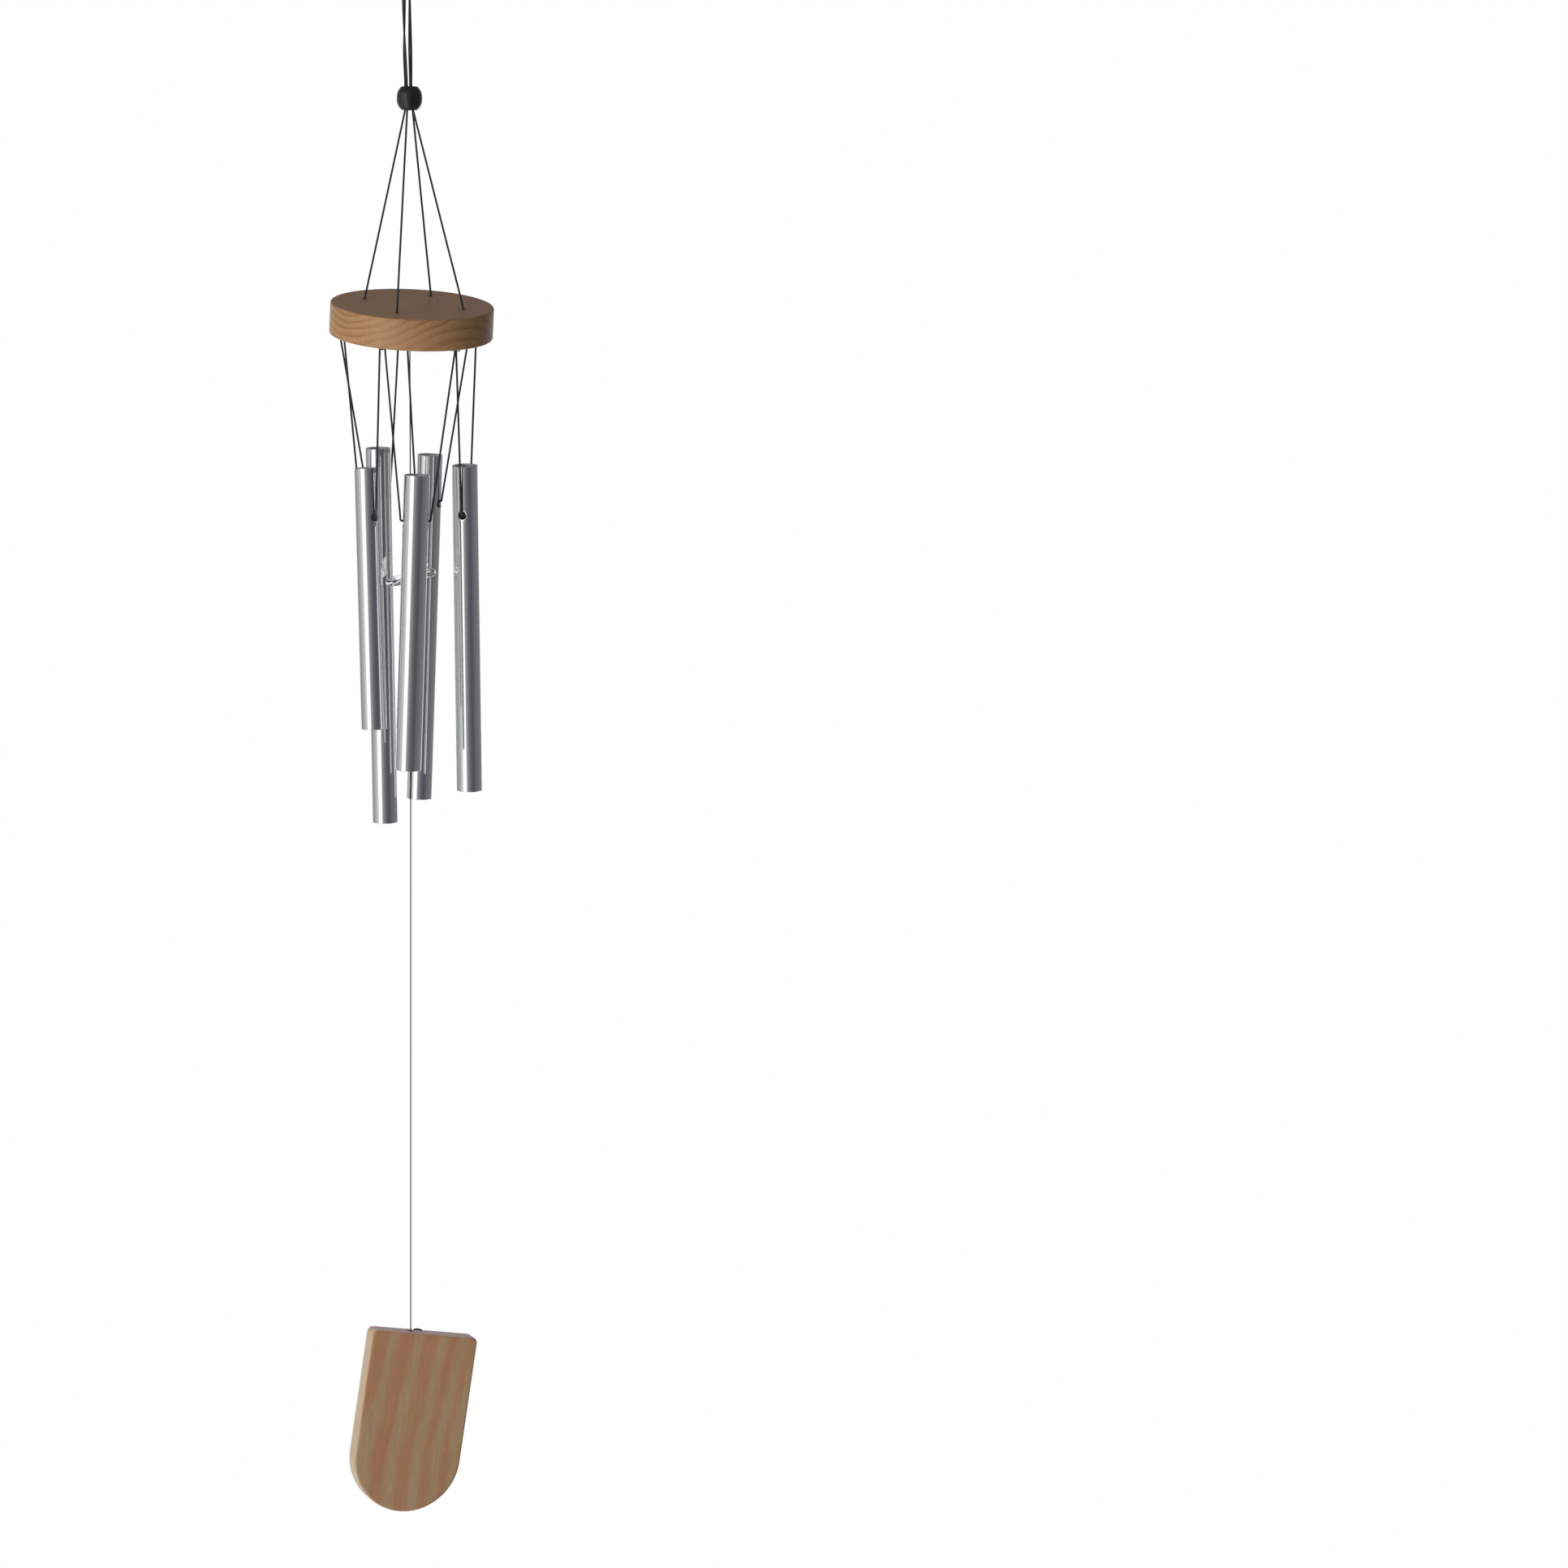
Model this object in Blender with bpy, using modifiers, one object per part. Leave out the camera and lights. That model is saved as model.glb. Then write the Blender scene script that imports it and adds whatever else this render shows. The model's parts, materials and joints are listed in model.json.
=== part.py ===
"""Wind chime with a turned pine disc, five aluminium tubes, a clear striker and a pine wind sail.

Metres, +Z up.  The origin is the inner top of the hanging ring, where a hook bears.
+X is to the right and +Y to the back.  The chime hangs straight down from the ring.
"""
import math

import bmesh
import bpy
from mathutils import Matrix, Vector

MM = 0.001
GAP = 0.3 * MM  # left between pieces that touch

# Hanging ring, in the X-Z plane
RING_WIRE_R = 1.0 * MM
RING_R = 9.0 * MM  # to the middle of the wire
RING_CENTRE = Vector((0, 0, -(RING_R - RING_WIRE_R)))
RING_FOOT_Z = RING_CENTRE.z - RING_R  # middle of the wire where the cords hang
RING_SIDES = 40
RING_CORD_X = {"a": -1.3 * MM, "b": 1.5 * MM}  # where each doubled cord lies over the ring

# Cords
CORD_R = 0.5 * MM  # suspension and tube cords
THIN_R = 0.3 * MM  # clapper and sail cord
CORD_STEP = 2.4 * MM  # between the points of a curving cord
STRAND_STEP = 3.0 * MM
HANGING_STEP = 9.0 * MM  # between the points of the straight clapper and sail cords

# Each pair of strands between ring and bead: x in mm, front then back, at these heights
HANGER_Z = (-22.0, -37.5, -47.5)
HANGER_X = {"a": ((-1.4, -0.95, -0.35), (-0.8, -0.95, -0.95)), "b": ((1.4, 1.3, 1.5), (1.6, 2.0, 2.25))}
HANGER_Y = (1.7, 1.35, 1.1)  # in front of and behind the ring's plane

# Bead that gathers the four suspension strands
BEAD_R = 6.25 * MM
BEAD_HALF = 5.7 * MM
BEAD_BORE_R = 3.0 * MM
BEAD_CENTRE = Vector((1.4, 0, -69.0)) * MM
BEAD_LIP = 0.7 * MM
BEAD_ARC = math.radians(54)  # the swell of the barrel, to each side of its widest line
FAN_Z = BEAD_CENTRE.z - 3.2 * MM  # the strands fan out from here
# The strands in the bead, x and y in mm from its axis: front and back of each doubled cord
BEAD_STRANDS = {"a": ((-1.2, -0.9), (-2.1, 0.6)), "b": ((0.3, -0.9), (0.9, 0.9))}
FAN = ((1.3, 1.2), (-1.65, 0.45), (-1.0, -1.2), (1.2, -0.9))  # the same where the strands fan out

# Wooden disc, tilted a little towards the front and the right
DISC_R = 40.0 * MM
DISC_T = 15.6 * MM
DISC_CENTRE = Vector((2.45, 0, -176.8)) * MM
DISC_FRONT_DOWN = math.radians(6.9)
DISC_RIGHT_DOWN = math.radians(2.3)
DISC_EDGE = 0.9 * MM
STRAND_HOLE_R = 1.4 * MM
STRAND_RING_R = 25.3 * MM
STRAND_RING_X = 0.8 * MM  # the four holes are drilled a little to the right of the middle
STRAND_FIRST = math.radians(71.0)
KNOT_R = 2.1 * MM
KNOT_H = 2.4 * MM

# Wire staples that hold the cords to the underside of the disc
STAPLE_WIRE_R = 0.35 * MM
STAPLE_SPAN = 4.2 * MM
STAPLE_DEPTH = 5.0 * MM
STAPLE_CORNER = 0.7 * MM
STAPLE_HOLE_R = 0.7 * MM
CROWN_DROP = GAP + 2 * CORD_R + GAP + STAPLE_WIRE_R  # middle of the crown below the wood
CLAPPER_STAPLE_X = -0.5 * MM

# Tubes
TUBE_R = 6.35 * MM
TUBE_WALL = 0.8 * MM
TUBE_EDGE = 0.15 * MM
TUBE_HOLE_R = 2.1 * MM
TUBE_HOLE_DROP = 24.0 * MM  # from the tube's top to the middle of its cross hole
# The cord lies against the top of the hole, so it runs this far above the hole's middle
CORD_RISE = TUBE_HOLE_R - CORD_R - GAP

# For each tube: where its cord leaves the disc (two points on the underside, x and y from
# the disc's middle), how far along from the first to the second the tube hangs, the height
# of its hole, its length and its lean towards the second point.
TUBES = {
    "1": ((-32.75, 3.6), (-15.05, -26.6), 0.672, -272.0, 128.0, 3.0),
    "2": ((-34.8, 7.2), (-5.7, 32.1), 0.651, -265.8, 187.0, 1.4),
    "3": ((-12.5, -30.0), (21.4, -25.8), 0.434, -274.2, 145.0, -1.7),
    "4": ((-2.3, 32.5), (28.5, 13.4), 0.359, -269.2, 172.0, -2.1),
    "5": ((22.0, -22.8), (32.0, 11.2), 0.473, -271.4, 162.0, 3.2),
}
# Each staple holds the cord ends of two neighbouring tubes: tube and which end
STAPLES = {
    "1": (("1", 0), ("2", 0)),
    "2": (("1", 1), ("3", 0)),
    "3": (("3", 1), ("5", 0)),
    "4": (("4", 1), ("5", 1)),
    "5": (("2", 1), ("4", 0)),
}

# Striker: a clear bevelled disc threaded on the clapper cord
STRIKER_R = 12.6 * MM
STRIKER_T = 3.0 * MM
STRIKER_BORE_R = 1.2 * MM
STRIKER_BEVEL = 0.7 * MM
STRIKER_CENTRE = Vector((2.0, 0, -303.4)) * MM
STRIKER_LEFT_DOWN = math.radians(13.4)
SMALL_KNOT_R = 1.5 * MM
SMALL_KNOT_H = 2.4 * MM

# Wind sail: a straight-sided board with a half-round lower end
SAIL_W = 55.2 * MM
SAIL_STRAIGHT = 63.4 * MM
SAIL_T = 10.4 * MM
SAIL_EDGE = 1.1 * MM
SAIL_CORNER = 3.0 * MM
SAIL_HOOK = Vector((2.0, 0, -681.5)) * MM  # where the cord enters the top edge
SAIL_OFFSET = 6.4 * MM  # from the cord to the middle of the top edge
SAIL_YAW = math.radians(16.8)
SAIL_HOLE_R = 2.0 * MM
SAIL_HOLE_DEPTH = 4.0 * MM
SAIL_KNOT_R = 1.2 * MM
SAIL_KNOT_H = 1.7 * MM
# The cord's loose end bows over the top edge: x and z in mm from where the cord enters
SAIL_TAIL = ((1.4, 0.8), (2.2, 1.05), (3.4, 1.15), (4.6, 0.95), (5.5, 0.8))
SAIL_TAIL_R = 0.42 * MM  # its cut end is frayed
SAIL_TAIL_Y = -0.6 * MM


def clear_scene():
    for obj in list(bpy.data.objects):
        bpy.data.objects.remove(obj, do_unlink=True)


def collection(name):
    made = bpy.data.collections.new(name)
    bpy.context.scene.collection.children.link(made)
    return made


def material(name, colour, roughness, metallic=0.0):
    made = bpy.data.materials.new(name)
    made.use_nodes = True
    shader = made.node_tree.nodes["Principled BSDF"]
    shader.inputs["Base Color"].default_value = (*colour, 1.0)
    shader.inputs["Roughness"].default_value = roughness
    shader.inputs["Metallic"].default_value = metallic
    return made


def place(name, data, look, frame=None):
    """A new object of the chime, in the frame given by a matrix."""
    obj = bpy.data.objects.new(name, data)
    obj.matrix_world = frame or Matrix.Identity(4)
    data.materials.append(look)
    PARTS.objects.link(obj)
    return obj


def bmesh_object(name, bm, look, frame=None):
    mesh = bpy.data.meshes.new(name)
    bm.to_mesh(mesh)
    bm.free()
    mesh.shade_smooth()
    mesh.set_sharp_from_angle(angle=math.radians(35))
    return place(name, mesh, look, frame)


def turned(name, profile, sides, look, frame=None):
    """A closed profile of (radius, height) points turned about Z with a Screw modifier."""
    bm = bmesh.new()
    points = [bm.verts.new((r, 0, z)) for r, z in profile]
    for a, b in zip(points, points[1:] + points[:1]):
        bm.edges.new((a, b))
    obj = bmesh_object(name, bm, look, frame)
    screw = obj.modifiers.new("turn", "SCREW")
    screw.steps = sides
    screw.render_steps = sides
    screw.use_merge_vertices = True
    screw.merge_threshold = 0.00001
    screw.use_smooth_shade = True
    return obj


def smooth_route(points, step):
    """Points about one step apart along a Catmull-Rom curve through the given points."""
    ends = [2 * points[0] - points[1], *points, 2 * points[-1] - points[-2]]
    route = [points[0]]
    for a, b, c, d in zip(ends, ends[1:], ends[2:], ends[3:]):
        pieces = max(1, round((c - b).length / step))
        for i in range(1, pieces + 1):
            t = i / pieces
            route.append(
                0.5 * (2 * b + (c - a) * t + (2 * a - 5 * b + 4 * c - d) * t * t
                       + (3 * b - a - 3 * c + d) * t ** 3)
            )
    return route


def wire(name, points, radius, look, cyclic=False):
    """A round wire or cord along the given world points."""
    curve = bpy.data.curves.new(name, "CURVE")
    curve.dimensions = "3D"
    curve.bevel_depth = radius
    curve.bevel_resolution = 2
    curve.use_fill_caps = not cyclic
    spline = curve.splines.new("POLY")
    spline.points.add(len(points) - 1)
    for point, co in zip(spline.points, points):
        point.co = (*co, 1.0)
    spline.use_cyclic_u = cyclic
    return place(name, curve, look)


def cut(obj, cutters):
    """Drill the given cutters out of a piece with an exact Boolean."""
    bits = collection(obj.name + "_cutters")
    for cutter in cutters:
        PARTS.objects.unlink(cutter)
        bits.objects.link(cutter)
        cutter.hide_render = True
        cutter.display_type = "WIRE"
    drill = obj.modifiers.new("drill", "BOOLEAN")
    drill.operation = "DIFFERENCE"
    drill.solver = "EXACT"
    drill.operand_type = "COLLECTION"
    drill.collection = bits


def drill_bit(radius, low, high, frame, sides=16):
    """A cylinder from low to high on the frame's Z axis."""
    bm = bmesh.new()
    bmesh.ops.create_cone(bm, cap_ends=True, segments=sides, radius1=radius,
                          radius2=radius, depth=high - low)
    bmesh.ops.translate(bm, verts=bm.verts, vec=(0, 0, (low + high) / 2))
    return bmesh_object("drill_bit", bm, STEEL, frame)


def knot(name, radius, height, top, look, frame=None):
    """A tied knot as a small barrel whose top middle is at the given height on Z."""
    profile = [(0.0, top)]
    for i in range(5):
        angle = math.pi * (i + 0.5) / 5
        profile.append((radius * (0.45 + 0.55 * math.sin(angle)),
                        top - height * (0.5 - 0.5 * math.cos(angle))))
    profile.append((0.0, top - height))
    bm = bmesh.new()
    points = [bm.verts.new((r, 0, z)) for r, z in profile]
    for a, b in zip(points, points[1:]):
        bm.edges.new((a, b))
    obj = bmesh_object(name, bm, look, frame)
    screw = obj.modifiers.new("turn", "SCREW")
    screw.steps = 12
    screw.render_steps = 12
    screw.use_merge_vertices = True
    screw.merge_threshold = 0.00001
    return obj


def disc_frame():
    """The disc's own frame: its middle at the origin and its axis along Z."""
    tilt = Matrix.Rotation(DISC_FRONT_DOWN, 4, "X") @ Matrix.Rotation(DISC_RIGHT_DOWN, 4, "Y")
    return Matrix.Translation(DISC_CENTRE) @ tilt


def under_disc(x, y, drop):
    """World position of a point this far below the disc's underside."""
    return disc_frame() @ Vector((x, y, -DISC_T / 2 - drop))


def tube_frame(key):
    """A tube's frame: origin on its cord between the holes, X along the cord, Z up the tube."""
    first, second, share, hole_z, _, lean = TUBES[key]
    a = under_disc(first[0] * MM, first[1] * MM, 0)
    b = under_disc(second[0] * MM, second[1] * MM, 0)
    along = Vector((b.x - a.x, b.y - a.y, 0)).normalized()
    middle = a.lerp(b, share)
    turn = Matrix.Rotation(math.atan2(along.y, along.x), 4, "Z")
    # Turning about local Y by minus the lean carries the tube's foot towards +X
    turn = turn @ Matrix.Rotation(-math.radians(lean), 4, "Y")
    at = Vector((middle.x, middle.y, hole_z * MM + CORD_RISE))
    return Matrix.Translation(at) @ turn


def make_ring():
    angles = [2 * math.pi * i / RING_SIDES for i in range(RING_SIDES)]
    points = [RING_CENTRE + RING_R * Vector((math.sin(a), 0, math.cos(a))) for a in angles]
    wire("hanging_ring", points, RING_WIRE_R, STEEL, cyclic=True)


def make_hanger_cords():
    """Two doubled cords, each laid over the foot of the ring and down into the bead."""
    bend = RING_WIRE_R + GAP + CORD_R
    for key, strands in BEAD_STRANDS.items():
        front, back = (BEAD_CENTRE + Vector((x * MM, y * MM, 0)) for x, y in strands)
        x = RING_CORD_X[key]
        over = [
            Vector((x, -bend * math.cos(a), RING_FOOT_Z + bend * math.sin(a)))
            for a in (math.pi * i / 8 for i in range(9))
        ]
        down = []
        for end, side, across in zip((front, back), (-1, 1), HANGER_X[key]):
            strand = [Vector((at, side * y, z)) * MM
                      for at, y, z in zip(across, HANGER_Y, HANGER_Z)]
            strand.append(Vector((end.x, end.y, -62 * MM)))
            strand.append(Vector((end.x, end.y, FAN_Z + GAP)))
            down.append(strand)
        points = [*reversed(down[0]), *over, *down[1]]
        wire("hanger_cord_" + key, smooth_route(points, CORD_STEP), CORD_R, BRAID)


def make_bead():
    """A turned barrel bead with a wide bore, its lips rounded."""
    profile = [(BEAD_BORE_R, BEAD_HALF - BEAD_LIP), (BEAD_BORE_R + BEAD_LIP, BEAD_HALF)]
    steps = 11
    for i in range(steps + 1):
        height = math.sin(BEAD_ARC * (1 - 2 * i / steps)) / math.sin(BEAD_ARC)
        profile.append((BEAD_R * (1 - 0.36 * abs(height) ** 2.6), BEAD_HALF * height * 0.985))
    profile += [(BEAD_BORE_R + BEAD_LIP, -BEAD_HALF), (BEAD_BORE_R, -BEAD_HALF + BEAD_LIP)]
    turned("bead", profile, 32, DARK_WOOD, Matrix.Translation(BEAD_CENTRE))


def strand_hole(index):
    angle = STRAND_FIRST + index * math.pi / 2
    return STRAND_RING_X + STRAND_RING_R * math.cos(angle), STRAND_RING_R * math.sin(angle)


def make_suspension():
    """Four strands from the bead through the disc, each ended with a knot underneath."""
    for index, (x, y) in enumerate(FAN):
        start = Vector((BEAD_CENTRE.x + x * MM, BEAD_CENTRE.y + y * MM, FAN_Z - GAP))
        hx, hy = strand_hole(index)
        mouth = disc_frame() @ Vector((hx, hy, DISC_T / 2 + 0.8 * MM))
        inside = disc_frame() @ Vector((hx, hy, DISC_T / 2 - 2.5 * MM))
        end = disc_frame() @ Vector((hx, hy, -DISC_T / 2))
        points = [start, start.lerp(mouth, 0.33), start.lerp(mouth, 0.66), mouth, inside, end]
        wire(f"suspension_cord_{index + 1}", smooth_route(points, STRAND_STEP), CORD_R, BRAID)
        knot(f"suspension_knot_{index + 1}", KNOT_R, KNOT_H, -DISC_T / 2 - GAP, BRAID,
             disc_frame() @ Matrix.Translation((hx, hy, 0)))


def staple_place(key):
    """Middle of a staple and the direction that the cord runs through it, on the underside."""
    (tube_a, end_a), (tube_b, end_b) = STAPLES[key]
    a = Vector(TUBES[tube_a][end_a]) * MM
    b = Vector(TUBES[tube_b][end_b]) * MM
    return (a + b) / 2, (b - a).normalized()


def staple_frame(middle, run):
    """X across the staple from leg to leg, Y along the cord, Z up into the wood."""
    turn = Matrix.Rotation(math.atan2(run.y, run.x) - math.pi / 2, 4, "Z")
    return disc_frame() @ Matrix.Translation((middle.x, middle.y, -DISC_T / 2)) @ turn


def staple_frames():
    frames = {"tube_staple_" + key: staple_frame(*staple_place(key)) for key in STAPLES}
    frames["clapper_staple"] = staple_frame(Vector((CLAPPER_STAPLE_X, 0)), Vector((0, 1)))
    return frames


def make_staples():
    half = STAPLE_SPAN / 2
    for name, frame in staple_frames().items():
        side = [(half, STAPLE_DEPTH), (half, STAPLE_DEPTH / 2), (half, 0)]
        for i in range(5):
            a = math.radians(90 * i / 4)
            side.append((half - STAPLE_CORNER * (1 - math.cos(a)),
                         -CROWN_DROP + STAPLE_CORNER * (1 - math.sin(a))))
        outline = side + [(-x, z) for x, z in reversed(side)]
        wire(name, [frame @ Vector((x, 0, z)) for x, z in outline], STAPLE_WIRE_R, STEEL)


def make_disc():
    half = DISC_T / 2
    profile = [(0.0, half)]
    for side, first in ((1, 90), (-1, 0)):
        for i in range(4):
            a = math.radians(first - 30 * i)
            profile.append((DISC_R - DISC_EDGE * (1 - math.cos(a)),
                            side * (half - DISC_EDGE) + DISC_EDGE * math.sin(a)))
    profile.append((0.0, -half))
    bm = bmesh.new()
    points = [bm.verts.new((r, 0, z)) for r, z in profile]
    for a, b in zip(points, points[1:]):
        bm.edges.new((a, b))
    bmesh.ops.spin(bm, geom=list(bm.verts) + list(bm.edges), cent=(0, 0, 0), axis=(0, 0, 1),
                   angle=2 * math.pi, steps=72, use_merge=True, use_normal_flip=True)
    bmesh.ops.remove_doubles(bm, verts=bm.verts, dist=0.000001)
    bmesh.ops.recalc_face_normals(bm, faces=bm.faces)
    disc = bmesh_object("disc", bm, PINE, disc_frame())
    bits = []
    for index in range(4):
        x, y = strand_hole(index)
        frame = disc_frame() @ Matrix.Translation((x, y, 0))
        bits.append(drill_bit(STRAND_HOLE_R, -half - MM, half + MM, frame))
    for frame in staple_frames().values():
        for side in (-1, 1):
            leg = frame @ Matrix.Translation((side * STAPLE_SPAN / 2, 0, 0))
            bits.append(drill_bit(STAPLE_HOLE_R, -MM, STAPLE_DEPTH + 0.8 * MM, leg, sides=8))
    cut(disc, bits)


def make_tube_cord(key):
    """The cord of one tube: from its staple down, through the tube's holes and up again."""
    frame = tube_frame(key)
    ends = []
    for end in (0, 1):
        staple = next(k for k, held in STAPLES.items() if (key, end) in held)
        middle, _ = staple_place(staple)
        x, y = (value * MM for value in TUBES[key][end])
        inward = (Vector((x, y)) - middle).normalized()
        drop = GAP + CORD_R
        start = middle + inward * (GAP / 2 + CORD_R * 0.2)
        lip = Vector((x, y)) - inward * 0.35 * MM
        side = -1 if end == 0 else 1
        hole = frame @ Vector((side * (TUBE_R + 1.0 * MM), 0, 0.55 * MM))
        leave = under_disc(x, y, drop + 1.1 * MM)
        ends.append([
            under_disc(start.x, start.y, drop),
            under_disc(lip.x, lip.y, drop + 0.15 * MM),
            leave,
            leave.lerp(hole, 0.33),
            leave.lerp(hole, 0.66),
            leave.lerp(hole, 0.95),
            hole,
            frame @ Vector((side * (TUBE_R - 0.8 * MM), 0, 0)),
        ])
    points = [*ends[0], frame @ Vector((0, 0, -0.1 * MM)), *reversed(ends[1])]
    wire("tube_cord_" + key, smooth_route(points, CORD_STEP), CORD_R, BRAID)


def make_tube(key):
    length = TUBES[key][4] * MM
    top = TUBE_HOLE_DROP - CORD_RISE
    inner = TUBE_R - TUBE_WALL
    foot = top - length
    profile = [
        (inner, top), (TUBE_R - TUBE_EDGE, top), (TUBE_R, top - TUBE_EDGE),
        (TUBE_R, foot + TUBE_EDGE), (TUBE_R - TUBE_EDGE, foot), (inner, foot),
    ]
    frame = tube_frame(key)
    tube = turned("tube_" + key, profile, 32, ALUMINIUM, frame)
    across = frame @ Matrix.Translation((0, 0, -CORD_RISE)) @ Matrix.Rotation(math.pi / 2, 4, "Y")
    cut(tube, [drill_bit(TUBE_HOLE_R, -12 * MM, 12 * MM, across, sides=20)])


def clapper_pivot():
    """The middle of the clapper staple's crown."""
    return staple_frames()["clapper_staple"] @ Vector((0, 0, -CROWN_DROP))


def make_clapper():
    pivot = clapper_pivot()
    top = pivot.z - STAPLE_WIRE_R - GAP
    knot("clapper_knot", SMALL_KNOT_R, SMALL_KNOT_H, 0, BRAID,
         Matrix.Translation((pivot.x, pivot.y, top)))
    start = Vector((pivot.x, pivot.y, top - SMALL_KNOT_H - GAP))
    below = STRIKER_CENTRE + Vector((0, 0, -STRIKER_T / 2 - 0.2 * MM))
    wire("clapper_cord", smooth_route([start, below], HANGING_STEP), THIN_R, BRAID)

    half = STRIKER_T / 2
    profile = [
        (STRIKER_BORE_R, half), (STRIKER_R - STRIKER_BEVEL, half),
        (STRIKER_R, half - STRIKER_BEVEL), (STRIKER_R, -half + STRIKER_BEVEL),
        (STRIKER_R - STRIKER_BEVEL, -half), (STRIKER_BORE_R, -half),
    ]
    tilt = Matrix.Rotation(-STRIKER_LEFT_DOWN, 4, "Y")
    turned("striker", profile, 48, CLEAR, Matrix.Translation(STRIKER_CENTRE) @ tilt)
    knot("striker_knot", SMALL_KNOT_R, SMALL_KNOT_H, 0, BRAID, Matrix.Translation(striker_foot()))


def striker_foot():
    """Top of the knot that the striker rests on."""
    drop = STRIKER_T / 2 / math.cos(STRIKER_LEFT_DOWN) + 0.55 * MM
    return STRIKER_CENTRE + Vector((0, 0, -drop))


def sail_frame():
    """The sail's frame: origin where the cord enters, X along the top edge, Z up the board."""
    area = SAIL_W * SAIL_STRAIGHT
    round_r = SAIL_W / 2
    round_area = math.pi * round_r ** 2 / 2
    round_drop = SAIL_STRAIGHT + 4 * round_r / (3 * math.pi)
    drop = (area * SAIL_STRAIGHT / 2 + round_area * round_drop) / (area + round_area)
    # The board hangs with its centre of mass under the cord, so it tilts
    tilt = math.atan2(SAIL_OFFSET, drop)
    turn = Matrix.Rotation(SAIL_YAW, 4, "Z") @ Matrix.Rotation(tilt, 4, "Y")
    return Matrix.Translation(SAIL_HOOK) @ turn


def make_sail_cord():
    start = striker_foot() + Vector((0, 0, -SMALL_KNOT_H - GAP))
    end = SAIL_HOOK + Vector((0, 0, 0.2 * MM))
    wire("sail_cord", smooth_route([start, end], HANGING_STEP), THIN_R, BRAID)
    knot("sail_knot", SAIL_KNOT_R, SAIL_KNOT_H, 0, BRAID,
         Matrix.Translation(SAIL_HOOK + Vector((0, 0, -0.15 * MM))))


def make_sail():
    """The board's outline, filled and rounded along its edges."""
    half = SAIL_W / 2
    outline = []
    for corner_x, start in ((half - SAIL_CORNER, 0), (-half + SAIL_CORNER, 90)):
        for i in range(4):
            a = math.radians(start + 30 * i)
            outline.append((corner_x + SAIL_CORNER * math.cos(a),
                            -SAIL_CORNER + SAIL_CORNER * math.sin(a)))
    steps = 24
    for i in range(steps + 1):
        a = math.pi + math.pi * i / steps
        outline.append((half * math.cos(a), -SAIL_STRAIGHT + half * math.sin(a)))
    bm = bmesh.new()
    rim = [bm.verts.new((x + SAIL_OFFSET, -SAIL_T / 2, z)) for x, z in outline]
    face = bm.faces.new(rim)
    solid = bmesh.ops.extrude_face_region(bm, geom=[face])
    moved = [v for v in solid["geom"] if isinstance(v, bmesh.types.BMVert)]
    bmesh.ops.translate(bm, verts=moved, vec=(0, SAIL_T, 0))
    bmesh.ops.recalc_face_normals(bm, faces=bm.faces)
    sail = bmesh_object("sail", bm, PINE, sail_frame())
    rounding = sail.modifiers.new("edges", "BEVEL")
    rounding.width = SAIL_EDGE
    rounding.segments = 2
    rounding.limit_method = "ANGLE"
    rounding.angle_limit = math.radians(60)
    socket = sail_frame() @ Matrix.Translation((0, 0, -SAIL_HOLE_DEPTH))
    cut(sail, [drill_bit(SAIL_HOLE_R, 0, SAIL_HOLE_DEPTH + MM, socket, sides=12)])
    points = [sail_frame() @ Vector((x * MM, SAIL_TAIL_Y, z * MM)) for x, z in SAIL_TAIL]
    wire("sail_cord_tail", smooth_route(points, 0.8 * MM), SAIL_TAIL_R, BRAID)


clear_scene()
PARTS = collection("wind_chime")
STEEL = material("steel", (0.55, 0.56, 0.57), 0.3, 1.0)
BRAID = material("braided_cord", (0.035, 0.04, 0.045), 0.75)
DARK_WOOD = material("dark_wood", (0.02, 0.014, 0.012), 0.35)
PINE = material("pine", (0.55, 0.35, 0.17), 0.5)
ALUMINIUM = material("aluminium", (0.78, 0.79, 0.8), 0.22, 1.0)
CLEAR = material("clear_acrylic", (0.85, 0.88, 0.88), 0.05)

make_ring()
make_hanger_cords()
make_bead()
make_suspension()
make_disc()
make_staples()
for tube_key in TUBES:
    make_tube_cord(tube_key)
    make_tube(tube_key)
make_clapper()
make_sail_cord()
make_sail()
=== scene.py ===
import json
import math

import bmesh
import bpy
import numpy as np
from mathutils import Matrix, Vector

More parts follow.
